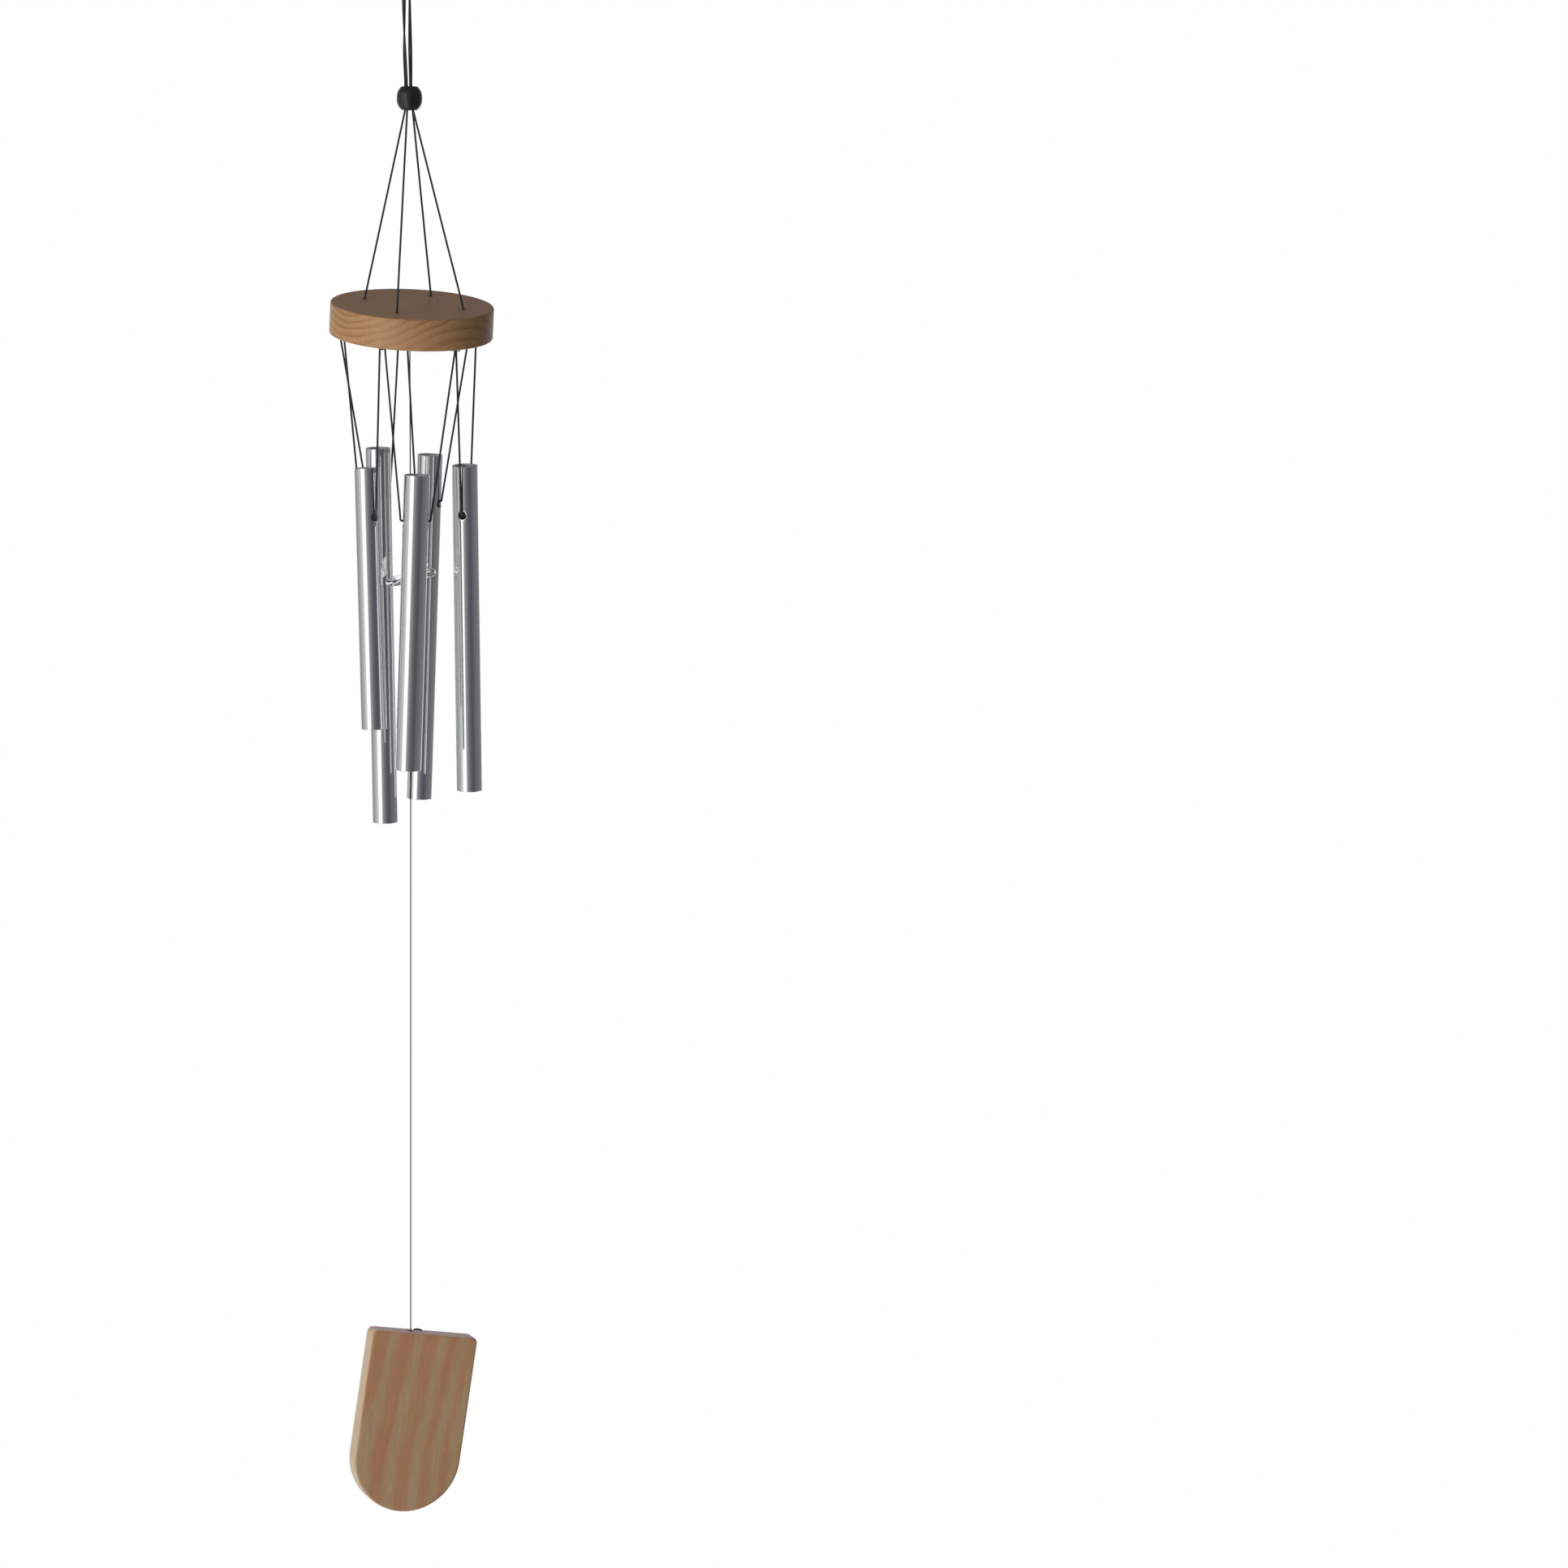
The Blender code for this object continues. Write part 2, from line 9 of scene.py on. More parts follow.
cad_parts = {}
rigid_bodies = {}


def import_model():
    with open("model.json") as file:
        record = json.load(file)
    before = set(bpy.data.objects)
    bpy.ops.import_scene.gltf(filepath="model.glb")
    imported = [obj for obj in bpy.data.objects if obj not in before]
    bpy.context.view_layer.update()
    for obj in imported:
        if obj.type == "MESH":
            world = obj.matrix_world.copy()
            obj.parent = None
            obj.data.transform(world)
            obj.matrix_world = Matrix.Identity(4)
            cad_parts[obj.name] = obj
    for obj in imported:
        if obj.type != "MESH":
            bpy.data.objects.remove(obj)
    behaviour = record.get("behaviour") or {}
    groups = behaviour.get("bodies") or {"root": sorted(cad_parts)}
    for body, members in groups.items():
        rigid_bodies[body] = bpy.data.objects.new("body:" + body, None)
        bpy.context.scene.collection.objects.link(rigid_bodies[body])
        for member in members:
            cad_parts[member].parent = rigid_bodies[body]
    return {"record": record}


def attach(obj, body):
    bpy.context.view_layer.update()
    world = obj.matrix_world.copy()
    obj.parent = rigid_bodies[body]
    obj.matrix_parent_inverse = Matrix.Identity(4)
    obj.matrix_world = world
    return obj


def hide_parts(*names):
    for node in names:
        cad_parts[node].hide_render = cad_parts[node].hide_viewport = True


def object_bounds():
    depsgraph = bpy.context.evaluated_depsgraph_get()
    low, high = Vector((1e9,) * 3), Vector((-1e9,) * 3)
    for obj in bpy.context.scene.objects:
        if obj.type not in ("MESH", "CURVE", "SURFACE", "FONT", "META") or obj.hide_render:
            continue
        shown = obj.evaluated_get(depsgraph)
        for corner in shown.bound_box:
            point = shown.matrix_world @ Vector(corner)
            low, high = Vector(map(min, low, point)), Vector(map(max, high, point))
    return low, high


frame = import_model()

CAD_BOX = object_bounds()
MM = 0.001
RECORD = frame["record"]
BODY_OF = {node: body for body, nodes in RECORD["behaviour"]["bodies"].items() for node in nodes}

# Sizes that the looks share with the model
GAP = 0.3 * MM
RING_WIRE_R = 1.0 * MM
RING_R = 9.0 * MM
RING_CENTRE = Vector((0, 0, -(RING_R - RING_WIRE_R)))
RING_FOOT_Z = RING_CENTRE.z - RING_R
RING_CORD_X = {"a": -1.3 * MM, "b": 1.5 * MM}
CORD_R = 0.5 * MM
THIN_R = 0.3 * MM
ROUTE_STEP = 0.3 * MM
# Where each hanger cord's front and back strand pass between the ring and the bead, in mm
HANGER_Z = (-22.0, -37.5, -47.5)
HANGER_X = {"a": ((-1.75, -1.1, -0.5), (-0.85, -1.1, -1.3)),
            "b": ((1.4, 1.25, 1.3), (1.6, 2.05, 2.3))}
HANGER_Y = (1.7, 1.35, 1.1)
HANGER_STRAIGHT_Z = -62.0
BEAD_R = 6.25 * MM
BEAD_HALF = 5.7 * MM
BEAD_BORE_R = 3.0 * MM
BEAD_CENTRE = Vector((1.4, 0, -69.0)) * MM
BEAD_LIP = 0.9 * MM
BEAD_ARC = math.radians(54)
BEAD_PINCH = 0.36  # how much narrower the bead is at its ends
BEAD_PINCH_POWER = 2.6
BEAD_RIM_HEIGHT = 0.985  # of its half height, where its side meets its lips
FAN_Z = BEAD_CENTRE.z - 3.2 * MM  # the cords are split here, inside the bead
# Where the cords are at the split, in mm from the bead's middle: hanger cords, then strands
BEAD_STRANDS = {"a": ((-1.2, -0.9), (-2.1, 0.6)), "b": ((0.3, -0.9), (0.9, 0.9))}
FAN = ((1.3, 1.2), (-1.65, 0.45), (-1.0, -1.2), (1.2, -0.9))
# A strand goes on from the end of a hanger cord, and is tucked up into it
FAN_FROM = (("b", 1), ("a", 1), ("a", 0), ("b", 0))
FAN_JOIN = 2.6 * MM  # the run over which it leaves the hanger cord's line
FAN_TUCK = 0.4 * MM
SPLICE_NECK = (0.75, 0.75, 0.88)  # how thin its first rows are, so as to go in
KNOT_BITE = 0.6 * MM  # a cord's end goes this far into its knot
DISC_R = 40.0 * MM
DISC_T = 15.6 * MM
DISC_CENTRE = Vector((2.45, 0, -176.8)) * MM
DISC_FRONT_DOWN = math.radians(6.9)
DISC_RIGHT_DOWN = math.radians(2.3)
DISC_EDGE = 0.9 * MM
STRAND_HOLE_R = 1.4 * MM
STRAND_HOLE_MOUTH = 0.35 * MM
STRAND_RING_R = 25.3 * MM
STRAND_RING_X = 0.8 * MM
STRAND_FIRST = math.radians(71.0)
KNOT_R = 2.1 * MM
KNOT_H = 2.4 * MM
# A strand's loose end below the disc: how far out and how high, in mm from its knot's middle
KNOT_TAIL = ((0.6, -0.5), (2.2, 0.1), (3.4, 0.5), (4.6, 0.4), (5.6, 0.7))
STAPLE_WIRE_R = 0.35 * MM
STAPLE_SPAN = 4.2 * MM
STAPLE_DEPTH = 5.0 * MM
STAPLE_CORNER = 0.7 * MM
STAPLE_HOLE_R = 0.45 * MM
STAPLE_HOLE_SPARE = 0.8 * MM  # how far the holes go on past the legs
CROWN_DROP = GAP + 2 * CORD_R + GAP + STAPLE_WIRE_R
CLAPPER_STAPLE_X = -0.5 * MM
TUBE_R = 6.35 * MM
TUBE_WALL = 0.8 * MM
TUBE_EDGE = 0.15 * MM
TUBE_HOLE_R = 2.1 * MM
TUBE_HOLE_DROP = 24.0 * MM
CORD_RISE = TUBE_HOLE_R - CORD_R - GAP
# The two places on the disc that each tube's cord comes from, in mm; how far along the line
# between them the tube hangs; the height of its holes, its length, in mm; its lean in degrees
TUBES = {
    "1": ((-32.75, 3.6), (-15.05, -26.6), 0.672, -272.0, 128.0, 3.0),
    "2": ((-34.8, 7.2), (-5.7, 32.1), 0.651, -265.8, 187.0, 1.4),
    "3": ((-12.5, -30.0), (21.4, -25.8), 0.434, -274.2, 145.0, -1.7),
    "4": ((-2.3, 32.5), (28.5, 13.4), 0.359, -269.2, 172.0, -2.1),
    "5": ((22.0, -22.8), (32.0, 11.2), 0.473, -271.4, 162.0, 3.2),
}
# The two cord ends that each staple holds: a tube's key, and which end of its cord
STAPLES = {
    "1": (("1", 0), ("2", 0)),
    "2": (("1", 1), ("3", 0)),
    "3": (("3", 1), ("5", 0)),
    "4": (("4", 1), ("5", 1)),
    "5": (("2", 1), ("4", 0)),
}
STRIKER_R = 12.6 * MM
STRIKER_T = 3.0 * MM
STRIKER_BORE_R = 1.2 * MM
STRIKER_BEVEL = 0.7 * MM
STRIKER_BORE_MOUTH = 0.25 * MM
STRIKER_CENTRE = Vector((2.0, 0, -303.4)) * MM
STRIKER_LEFT_DOWN = math.radians(13.4)
STRIKER_FOOT_GAP = 0.55 * MM
SMALL_KNOT_R = 1.5 * MM
SMALL_KNOT_H = 2.4 * MM
SAIL_W = 55.2 * MM
SAIL_STRAIGHT = 63.4 * MM
SAIL_T = 10.4 * MM
SAIL_EDGE = 1.1 * MM
SAIL_CORNER = 3.0 * MM
SAIL_HOOK = Vector((2.0, 0, -681.5)) * MM
SAIL_OFFSET = 6.4 * MM
SAIL_YAW = math.radians(16.8)
SAIL_HOLE_R = 2.0 * MM
SAIL_HOLE_DEPTH = 4.0 * MM
SAIL_KNOT_R = 1.2 * MM
SAIL_KNOT_H = 1.7 * MM
SAIL_KNOT_SUNK = 0.15 * MM
SAIL_SOCKET_BEVEL = 1.3 * MM
# The cord's loose end along the sail's top: X and height, in mm from where the cord goes in
SAIL_TAIL = ((1.4, 0.8), (2.2, 1.05), (3.4, 1.15), (4.6, 0.95), (5.5, 0.8))
SAIL_TAIL_R = 0.42 * MM  # its cut end is frayed
SAIL_TAIL_Y = -0.6 * MM


def link(obj):
    bpy.context.scene.collection.objects.link(obj)


# ---------------------------------------------------------------- camera

CAMERA_AT = (0.002, -3.30, 0.060)
CAMERA_TURN = (3.2001, 8.0242, 0.4474)  # yaw, pitch and roll, in degrees
CAMERA_LENS = 154.81  # mm, on a sensor 36 mm wide


def make_camera():
    """A long lens a little above the top of the chime, looking down at it."""
    yaw, pitch, roll = (math.radians(a) for a in CAMERA_TURN)
    ahead = Vector((math.sin(yaw) * math.cos(pitch), math.cos(yaw) * math.cos(pitch),
                    -math.sin(pitch)))
    level = Vector((math.cos(yaw), -math.sin(yaw), 0))
    over = level.cross(ahead)
    right = level * math.cos(roll) + over * math.sin(roll)
    up = -level * math.sin(roll) + over * math.cos(roll)
    data = bpy.data.cameras.new("camera")
    data.lens = CAMERA_LENS
    data.sensor_width = 36
    data.clip_start = 0.1
    data.clip_end = 50
    camera = bpy.data.objects.new("camera", data)
    turn = Matrix((right, up, -ahead)).transposed().to_4x4()
    camera.matrix_world = Matrix.Translation(CAMERA_AT) @ turn
    link(camera)
    bpy.context.scene.camera = camera


# ---------------------------------------------------------------- shapes

def show(name, mesh, look, place=None, smooth=35):
    """Links a mesh as a new object, smooth except along its sharp edges."""
    mesh.shade_smooth()
    mesh.set_sharp_from_angle(angle=math.radians(smooth))
    mesh.materials.append(look)
    obj = bpy.data.objects.new(name, mesh)
    obj.matrix_world = place or Matrix.Identity(4)
    link(obj)
    return obj


def stands_for(obj, node):
    """The piece takes the place and the body of a CAD node, which is hidden."""
    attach(obj, BODY_OF[node])
    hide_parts(node)
    return obj


def smooth_route(points, step):
    """Points about one step apart along a Catmull-Rom curve through the given points."""
    ends = [2 * points[0] - points[1], *points, 2 * points[-1] - points[-2]]
    route = [points[0]]
    for a, b, c, d in zip(ends, ends[1:], ends[2:], ends[3:]):
        pieces = max(1, round((c - b).length / step))
        for i in range(1, pieces + 1):
            t = i / pieces
            route.append(
                0.5 * (2 * b + (c - a) * t + (2 * a - 5 * b + 4 * c - d) * t * t
                       + (3 * b - a - 3 * c + d) * t ** 3)
            )
    return route


def spaced(points, step, closed=False):
    """The same line with its points evenly spaced, about one step apart."""
    line = np.array([tuple(p) for p in points], float)
    if closed:
        line = np.vstack([line, line[:1]])
    run = np.concatenate([[0], np.cumsum(np.linalg.norm(np.diff(line, axis=0), axis=1))])
    count = max(2, round(run[-1] / step))
    at = np.linspace(0, run[-1], count + 1)
    even = np.stack([np.interp(at, run, line[:, k]) for k in range(3)], axis=1)
    return (even[:-1] if closed else even), run[-1]


def cross_frames(line, closed):
    """Two unit vectors across the line at each point, turning as little as they can."""
    if closed:
        ahead = np.roll(line, -1, 0) - np.roll(line, 1, 0)
    else:
        ahead = np.gradient(line, axis=0)
    ahead /= np.linalg.norm(ahead, axis=1)[:, None]
    start = np.cross(ahead[0], (0, 1, 0) if abs(ahead[0][1]) < 0.9 else (1, 0, 0))
    across = [start / np.linalg.norm(start)]
    for t in ahead[1:]:
        n = across[-1] - t * np.dot(across[-1], t)
        across.append(n / np.linalg.norm(n))
    across = np.array(across)
    other = np.cross(ahead, across)
    if closed:
        last = across[-1] - ahead[0] * np.dot(across[-1], ahead[0])
        miss = math.atan2(np.dot(last, other[0]), np.dot(last, across[0]))
        turn = -miss * np.arange(len(line))[:, None] / len(line)
        across, other = (across * np.cos(turn) + other * np.sin(turn),
                         other * np.cos(turn) - across * np.sin(turn))
    return across, other


def swept_mesh(name, line, radii, closed=False, around=1.0, along=1.0):
    """A tube along the line.  radii has a row for each point and a column for each side."""
    rows, sides = radii.shape
    across, other = cross_frames(line, closed)
    angle = np.arange(sides) * 2 * math.pi / sides
    co = (line[:, None] + radii[..., None] * (across[:, None] * np.cos(angle)[:, None]
                                              + other[:, None] * np.sin(angle)[:, None]))
    spans = rows if closed else rows - 1
    j, i = np.meshgrid(np.arange(spans), np.arange(sides), indexing="ij")
    nj, ni = (j + 1) % rows, (i + 1) % sides
    quads = np.stack([j * sides + i, j * sides + ni, nj * sides + ni, nj * sides + i], -1)
    faces = quads.reshape(-1, 4).tolist()
    uv = np.stack([np.stack([a / sides * around, b * along], -1)
                   for a, b in ((i, j), (i + 1, j), (i + 1, j + 1), (i, j + 1))], 2).reshape(-1, 2)
    if not closed:
        faces += [list(range(sides))[::-1], list(range((rows - 1) * sides, rows * sides))]
        uv = np.vstack([uv, np.zeros((2 * sides, 2))])
    mesh = bpy.data.meshes.new(name)
    mesh.from_pydata(co.reshape(-1, 3).tolist(), [], faces)
    mesh.uv_layers.new(name="weave").data.foreach_set("uv", uv.astype(np.float32).ravel())
    return mesh


WIRE_SEAM = 0.86  # of the wire's radius, at the groove where its ends meet
WIRE_TIP = 0.75  # and at its blunt tips


def wire(name, points, radius, look, step, sides=16, closed=False, seam=None):
    """A round metal wire.  seam is where its two ends meet, if it is a closed ring."""
    line, _ = spaced(points, step, closed)
    radii = np.full((len(line), sides), radius)
    if seam is not None:
        radii[seam] *= WIRE_SEAM
    else:
        radii[[0, -1]] *= WIRE_TIP
    return show(name, swept_mesh(name, line, radii, closed), look)


BRAID_SIDES = 12
BRAID_STEP = 0.36  # of the cord's diameter, from one crossing of the yarns to the next
BRAID_RELIEF = 0.03  # of its radius


def braid(name, points, radius, look, closed=False, spliced=False):
    """A braided cord: yarns stand up in a chequer of small diamonds round it.

    Returns its object, its middle line and its length.  A spliced one starts with a thin neck.
    """
    line, length = spaced(points, BRAID_STEP * 2 * radius, closed)
    if closed and len(line) % 2:
        line, length = spaced(points, length / (len(line) + 1), closed)
    rows = len(line)
    chequer = (np.arange(rows)[:, None] + np.arange(BRAID_SIDES)[None]) % 2
    radii = radius * (1 - BRAID_RELIEF + BRAID_RELIEF * chequer)
    if spliced:
        radii[:len(SPLICE_NECK)] *= np.array(SPLICE_NECK)[:, None]
    mesh = swept_mesh(name, line, radii, closed, around=BRAID_SIDES / 2, along=0.5)
    return show(name, mesh, look, smooth=180), [tuple(p) for p in line], length


def turned_mesh(name, profile, sides, closed=True):
    """A profile of (radius, height) points turned about Z.  Ends at radius 0 are poles."""
    bm = bmesh.new()
    rings = []
    for r, z in profile:
        if r < 1e-9:
            rings.append([bm.verts.new((0, 0, z))])
        else:
            rings.append([bm.verts.new((r * math.cos(2 * math.pi * i / sides),
                                        r * math.sin(2 * math.pi * i / sides), z))
                          for i in range(sides)])
    pairs = list(zip(rings, rings[1:]))
    if closed:
        pairs.append((rings[-1], rings[0]))
    for low, high in pairs:
        for i in range(sides):
            corners = [low[i % len(low)], low[(i + 1) % len(low)],
                       high[(i + 1) % len(high)], high[i % len(high)]]
            corners = list(dict.fromkeys(corners))
            if len(corners) > 2:
                bm.faces.new(corners)
    bmesh.ops.recalc_face_normals(bm, faces=bm.faces)
    mesh = bpy.data.meshes.new(name)
    bm.to_mesh(mesh)
    bm.free()
    return mesh


CUT_SHARP = math.radians(40)


def drilled(obj, cutters):
    """Cuts the given tools out of a piece and keeps the result as its mesh."""
    bits = bpy.data.collections.new(obj.name + "_bits")
    for cutter in cutters:
        bits.objects.link(cutter)
    cut = obj.modifiers.new("drill", "BOOLEAN")
    cut.operation = "DIFFERENCE"
    cut.solver = "EXACT"
    cut.operand_type = "COLLECTION"
    cut.collection = bits
    graph = bpy.context.evaluated_depsgraph_get()
    done = bpy.data.meshes.new_from_object(obj.evaluated_get(graph))
    done.set_sharp_from_angle(angle=CUT_SHARP)
    obj.modifiers.clear()
    obj.data = done
    for cutter in list(bits.objects):
        bpy.data.objects.remove(cutter)
    bpy.data.collections.remove(bits)
    return obj


def drill_bit(profile, place, sides=32):
    """A solid that drilled() cuts a hole with."""
    mesh = turned_mesh("bit", profile, sides, closed=False)
    obj = bpy.data.objects.new("bit", mesh)
    obj.matrix_world = place
    return obj


# ---------------------------------------------------------------- places

def disc_frame():
    """Origin in the disc's middle, Z up through it: it hangs a little askew."""
    tilt = Matrix.Rotation(DISC_FRONT_DOWN, 4, "X") @ Matrix.Rotation(DISC_RIGHT_DOWN, 4, "Y")
    return Matrix.Translation(DISC_CENTRE) @ tilt


def under_disc(x, y, drop):
    """The point that far below the disc's underside."""
    return disc_frame() @ Vector((x, y, -DISC_T / 2 - drop))


def tube_frame(key):
    """Origin on the tube's cord between the holes, X along the cord, Z up the tube."""
    first, second, share, hole_z, _, lean = TUBES[key]
    a = under_disc(first[0] * MM, first[1] * MM, 0)
    b = under_disc(second[0] * MM, second[1] * MM, 0)
    along = Vector((b.x - a.x, b.y - a.y, 0)).normalized()
    middle = a.lerp(b, share)
    turn = Matrix.Rotation(math.atan2(along.y, along.x), 4, "Z")
    turn = turn @ Matrix.Rotation(-math.radians(lean), 4, "Y")
    return Matrix.Translation((middle.x, middle.y, hole_z * MM + CORD_RISE)) @ turn


def strand_hole(index):
    angle = STRAND_FIRST + index * math.pi / 2
    return STRAND_RING_X + STRAND_RING_R * math.cos(angle), STRAND_RING_R * math.sin(angle)


def staple_place(key):
    """A staple's middle on the disc, and the way from one of its cord ends to the other."""
    (tube_a, end_a), (tube_b, end_b) = STAPLES[key]
    a = Vector(TUBES[tube_a][end_a]) * MM
    b = Vector(TUBES[tube_b][end_b]) * MM
    return (a + b) / 2, (b - a).normalized()


def staple_frame(middle, run):
    """Origin on the disc's underside between the legs, X from leg to leg, Z into the disc."""
    turn = Matrix.Rotation(math.atan2(run.y, run.x) - math.pi / 2, 4, "Z")
    return disc_frame() @ Matrix.Translation((middle.x, middle.y, -DISC_T / 2)) @ turn


def staple_frames():
    frames = {"tube_staple_" + key: staple_frame(*staple_place(key)) for key in STAPLES}
    frames["clapper_staple"] = staple_frame(Vector((CLAPPER_STAPLE_X, 0)), Vector((0, 1)))
    return frames


def clapper_pivot():
    return staple_frames()["clapper_staple"] @ Vector((0, 0, -CROWN_DROP))


def striker_foot():
    """The top of the knot that the striker rests on."""
    drop = STRIKER_T / 2 / math.cos(STRIKER_LEFT_DOWN) + STRIKER_FOOT_GAP
    return STRIKER_CENTRE + Vector((0, 0, -drop))


def sail_frame():
    """Origin where the cord enters, X along the top edge, Z up the board."""
    area = SAIL_W * SAIL_STRAIGHT
    round_r = SAIL_W / 2
    round_area = math.pi * round_r ** 2 / 2
    round_drop = SAIL_STRAIGHT + 4 * round_r / (3 * math.pi)
    drop = (area * SAIL_STRAIGHT / 2 + round_area * round_drop) / (area + round_area)
    tilt = math.atan2(SAIL_OFFSET, drop)
    turn = Matrix.Rotation(SAIL_YAW, 4, "Z") @ Matrix.Rotation(tilt, 4, "Y")
    return Matrix.Translation(SAIL_HOOK) @ turn


# ---------------------------------------------------------------- cords

def hanger_route(key):
    """Up from the bead, over the foot of the ring and back down into the bead."""
    bend = RING_WIRE_R + GAP + CORD_R
    front, back = (BEAD_CENTRE + Vector((x * MM, y * MM, 0)) for x, y in BEAD_STRANDS[key])
    x = RING_CORD_X[key]
    over = [Vector((x, -bend * math.cos(a), RING_FOOT_Z + bend * math.sin(a)))
            for a in (math.pi * i / 8 for i in range(9))]
    down = []
    for end, side, across in zip((front, back), (-1, 1), HANGER_X[key]):
        strand = [Vector((at, side * y, z)) * MM for at, y, z in zip(across, HANGER_Y, HANGER_Z)]
        strand.append(Vector((end.x, end.y, HANGER_STRAIGHT_Z * MM)))
        strand.append(Vector((end.x, end.y, FAN_Z + GAP)))
        down.append(strand)
    return smooth_route([*reversed(down[0]), *over, *down[1]], ROUTE_STEP)


def strand_route(index):
    """From its hanger cord's end in the bead, down through the disc, into the knot under it."""
    x, y = FAN[index]
    start = Vector((BEAD_CENTRE.x + x * MM, BEAD_CENTRE.y + y * MM, FAN_Z - GAP))
    hx, hy = strand_hole(index)
    mouth = disc_frame() @ Vector((hx, hy, DISC_T / 2 + 0.8 * MM))
    inside = disc_frame() @ Vector((hx, hy, DISC_T / 2 - 2.5 * MM))
    end = disc_frame() @ Vector((hx, hy, -DISC_T / 2 - GAP - KNOT_BITE))
    points = [start, start.lerp(mouth, 0.33), start.lerp(mouth, 0.66), mouth, inside, end]
    route = smooth_route(points, ROUTE_STEP)
    key, side = FAN_FROM[index]
    above = BEAD_CENTRE.to_2d() + Vector(BEAD_STRANDS[key][side]) * MM
    shift = (above - start.to_2d()).to_3d()
    for point in route:
        run = min(1, (start.z - point.z) / FAN_JOIN)
        point += shift * (1 - run * run * (3 - 2 * run))
    return [Vector((above.x, above.y, FAN_Z + GAP + FAN_TUCK)), *route]


def tube_route(key):
    """From the staple down, through the tube's two holes and up again."""
    place = tube_frame(key)
    ends = []
    for end in (0, 1):
        staple = next(k for k, held in STAPLES.items() if (key, end) in held)
        middle, _ = staple_place(staple)
        x, y = (value * MM for value in TUBES[key][end])
        inward = (Vector((x, y)) - middle).normalized()
        drop = GAP + CORD_R
        start = middle + inward * (GAP / 2 + CORD_R * 0.2)
        lip = Vector((x, y)) - inward * 0.35 * MM
        side = -1 if end == 0 else 1
        hole = place @ Vector((side * (TUBE_R + 1.0 * MM), 0, 0.55 * MM))
        leave = under_disc(x, y, drop + 1.1 * MM)
        ends.append([
            under_disc(start.x, start.y, drop),
            under_disc(lip.x, lip.y, drop + 0.15 * MM),
            leave,
            leave.lerp(hole, 0.33),
            leave.lerp(hole, 0.66),
            leave.lerp(hole, 0.95),
            hole,
            place @ Vector((side * (TUBE_R - 0.8 * MM), 0, 0)),
        ])
    points = [*ends[0], place @ Vector((0, 0, -0.1 * MM)), *reversed(ends[1])]
    return smooth_route(points, ROUTE_STEP)


KNOT_STEPS = 240
KNOT_TURNS = 2
KNOT_CROSSINGS = 5


def make_knot(node, radius, height, middle, cord_r, look, place, tail=None):
    """A tight knot: one cord wound twice round with five crossings, and its loose end."""
    name = node + "_braid"
    wide = (radius - cord_r) / 2
    points = []
    for i in range(KNOT_STEPS):
        t = 2 * math.pi * i / KNOT_STEPS
        r = wide + wide * math.cos(KNOT_CROSSINGS * t)
        points.append(place @ Vector((
            r * math.cos(KNOT_TURNS * t), r * math.sin(KNOT_TURNS * t),
            middle + (height / 2 - cord_r) * math.sin(KNOT_CROSSINGS * t),
        )))
    obj, _, _ = braid(name, points, cord_r, look, closed=True)
    if tail:
        route = smooth_route([place @ Vector(p) for p in tail], ROUTE_STEP)
        loose, _, _ = braid(name + "_tail", route, cord_r, look)
        bm = bmesh.new()
        bm.from_mesh(obj.data)
        bm.from_mesh(loose.data)
        bm.to_mesh(obj.data)
        bm.free()
        bpy.data.objects.remove(loose)
    return stands_for(obj, node)


def make_cord(node, points, radius, look, spliced=False):
    """A braided cord that takes the place of a CAD node."""
    obj, path, length = braid(node + "_braid", points, radius, look, spliced=spliced)
    stands_for(obj, node)


def make_cords(look):
    for key in BEAD_STRANDS:
        make_cord("hanger_cord_" + key, hanger_route(key), CORD_R, look)
    for index in range(4):
        hx, hy = strand_hole(index)
        place = disc_frame() @ Matrix.Translation((hx, hy, -DISC_T / 2 - GAP - KNOT_H / 2))
        away = -Vector((hx, hy)).normalized() * MM
        tail = [(r * away.x, r * away.y, z * MM) for r, z in KNOT_TAIL]
        knot = make_knot(f"suspension_knot_{index + 1}", KNOT_R, KNOT_H, 0, CORD_R, look, place,
                         tail)
        make_cord(f"suspension_cord_{index + 1}", strand_route(index), CORD_R, look,
                  spliced=True)
    for key in TUBES:
        make_cord("tube_cord_" + key, tube_route(key), CORD_R, look)

    pivot = clapper_pivot()
    top = pivot.z - STAPLE_WIRE_R - GAP
    above = make_knot("clapper_knot", SMALL_KNOT_R, SMALL_KNOT_H, -SMALL_KNOT_H / 2, THIN_R,
                      look, Matrix.Translation((pivot.x, pivot.y, top)))
    stop = make_knot("striker_knot", SMALL_KNOT_R, SMALL_KNOT_H, -SMALL_KNOT_H / 2, THIN_R,
                     look, Matrix.Translation(striker_foot()))
    start = Vector((pivot.x, pivot.y, top - SMALL_KNOT_H + KNOT_BITE))
    end = striker_foot() - Vector((0, 0, KNOT_BITE))
    make_cord("clapper_cord", [start, end], THIN_R, look)

    sunk = SAIL_HOOK - Vector((0, 0, SAIL_KNOT_SUNK))
    hook = make_knot("sail_knot", SAIL_KNOT_R, SAIL_KNOT_H, -SAIL_KNOT_H / 2, THIN_R, look,
                     Matrix.Translation(sunk))
    points = [sail_frame() @ Vector((x * MM, SAIL_TAIL_Y, z * MM)) for x, z in SAIL_TAIL]
    tail, _, _ = braid("sail_cord_tail_braid", smooth_route(points, ROUTE_STEP), SAIL_TAIL_R,
                       look)
    stands_for(tail, "sail_cord_tail")
    start = striker_foot() + Vector((0, 0, -SMALL_KNOT_H + KNOT_BITE))
    end = SAIL_HOOK - Vector((0, 0, KNOT_BITE))
    make_cord("sail_cord", [start, end], THIN_R, look)


# ---------------------------------------------------------------- solid pieces

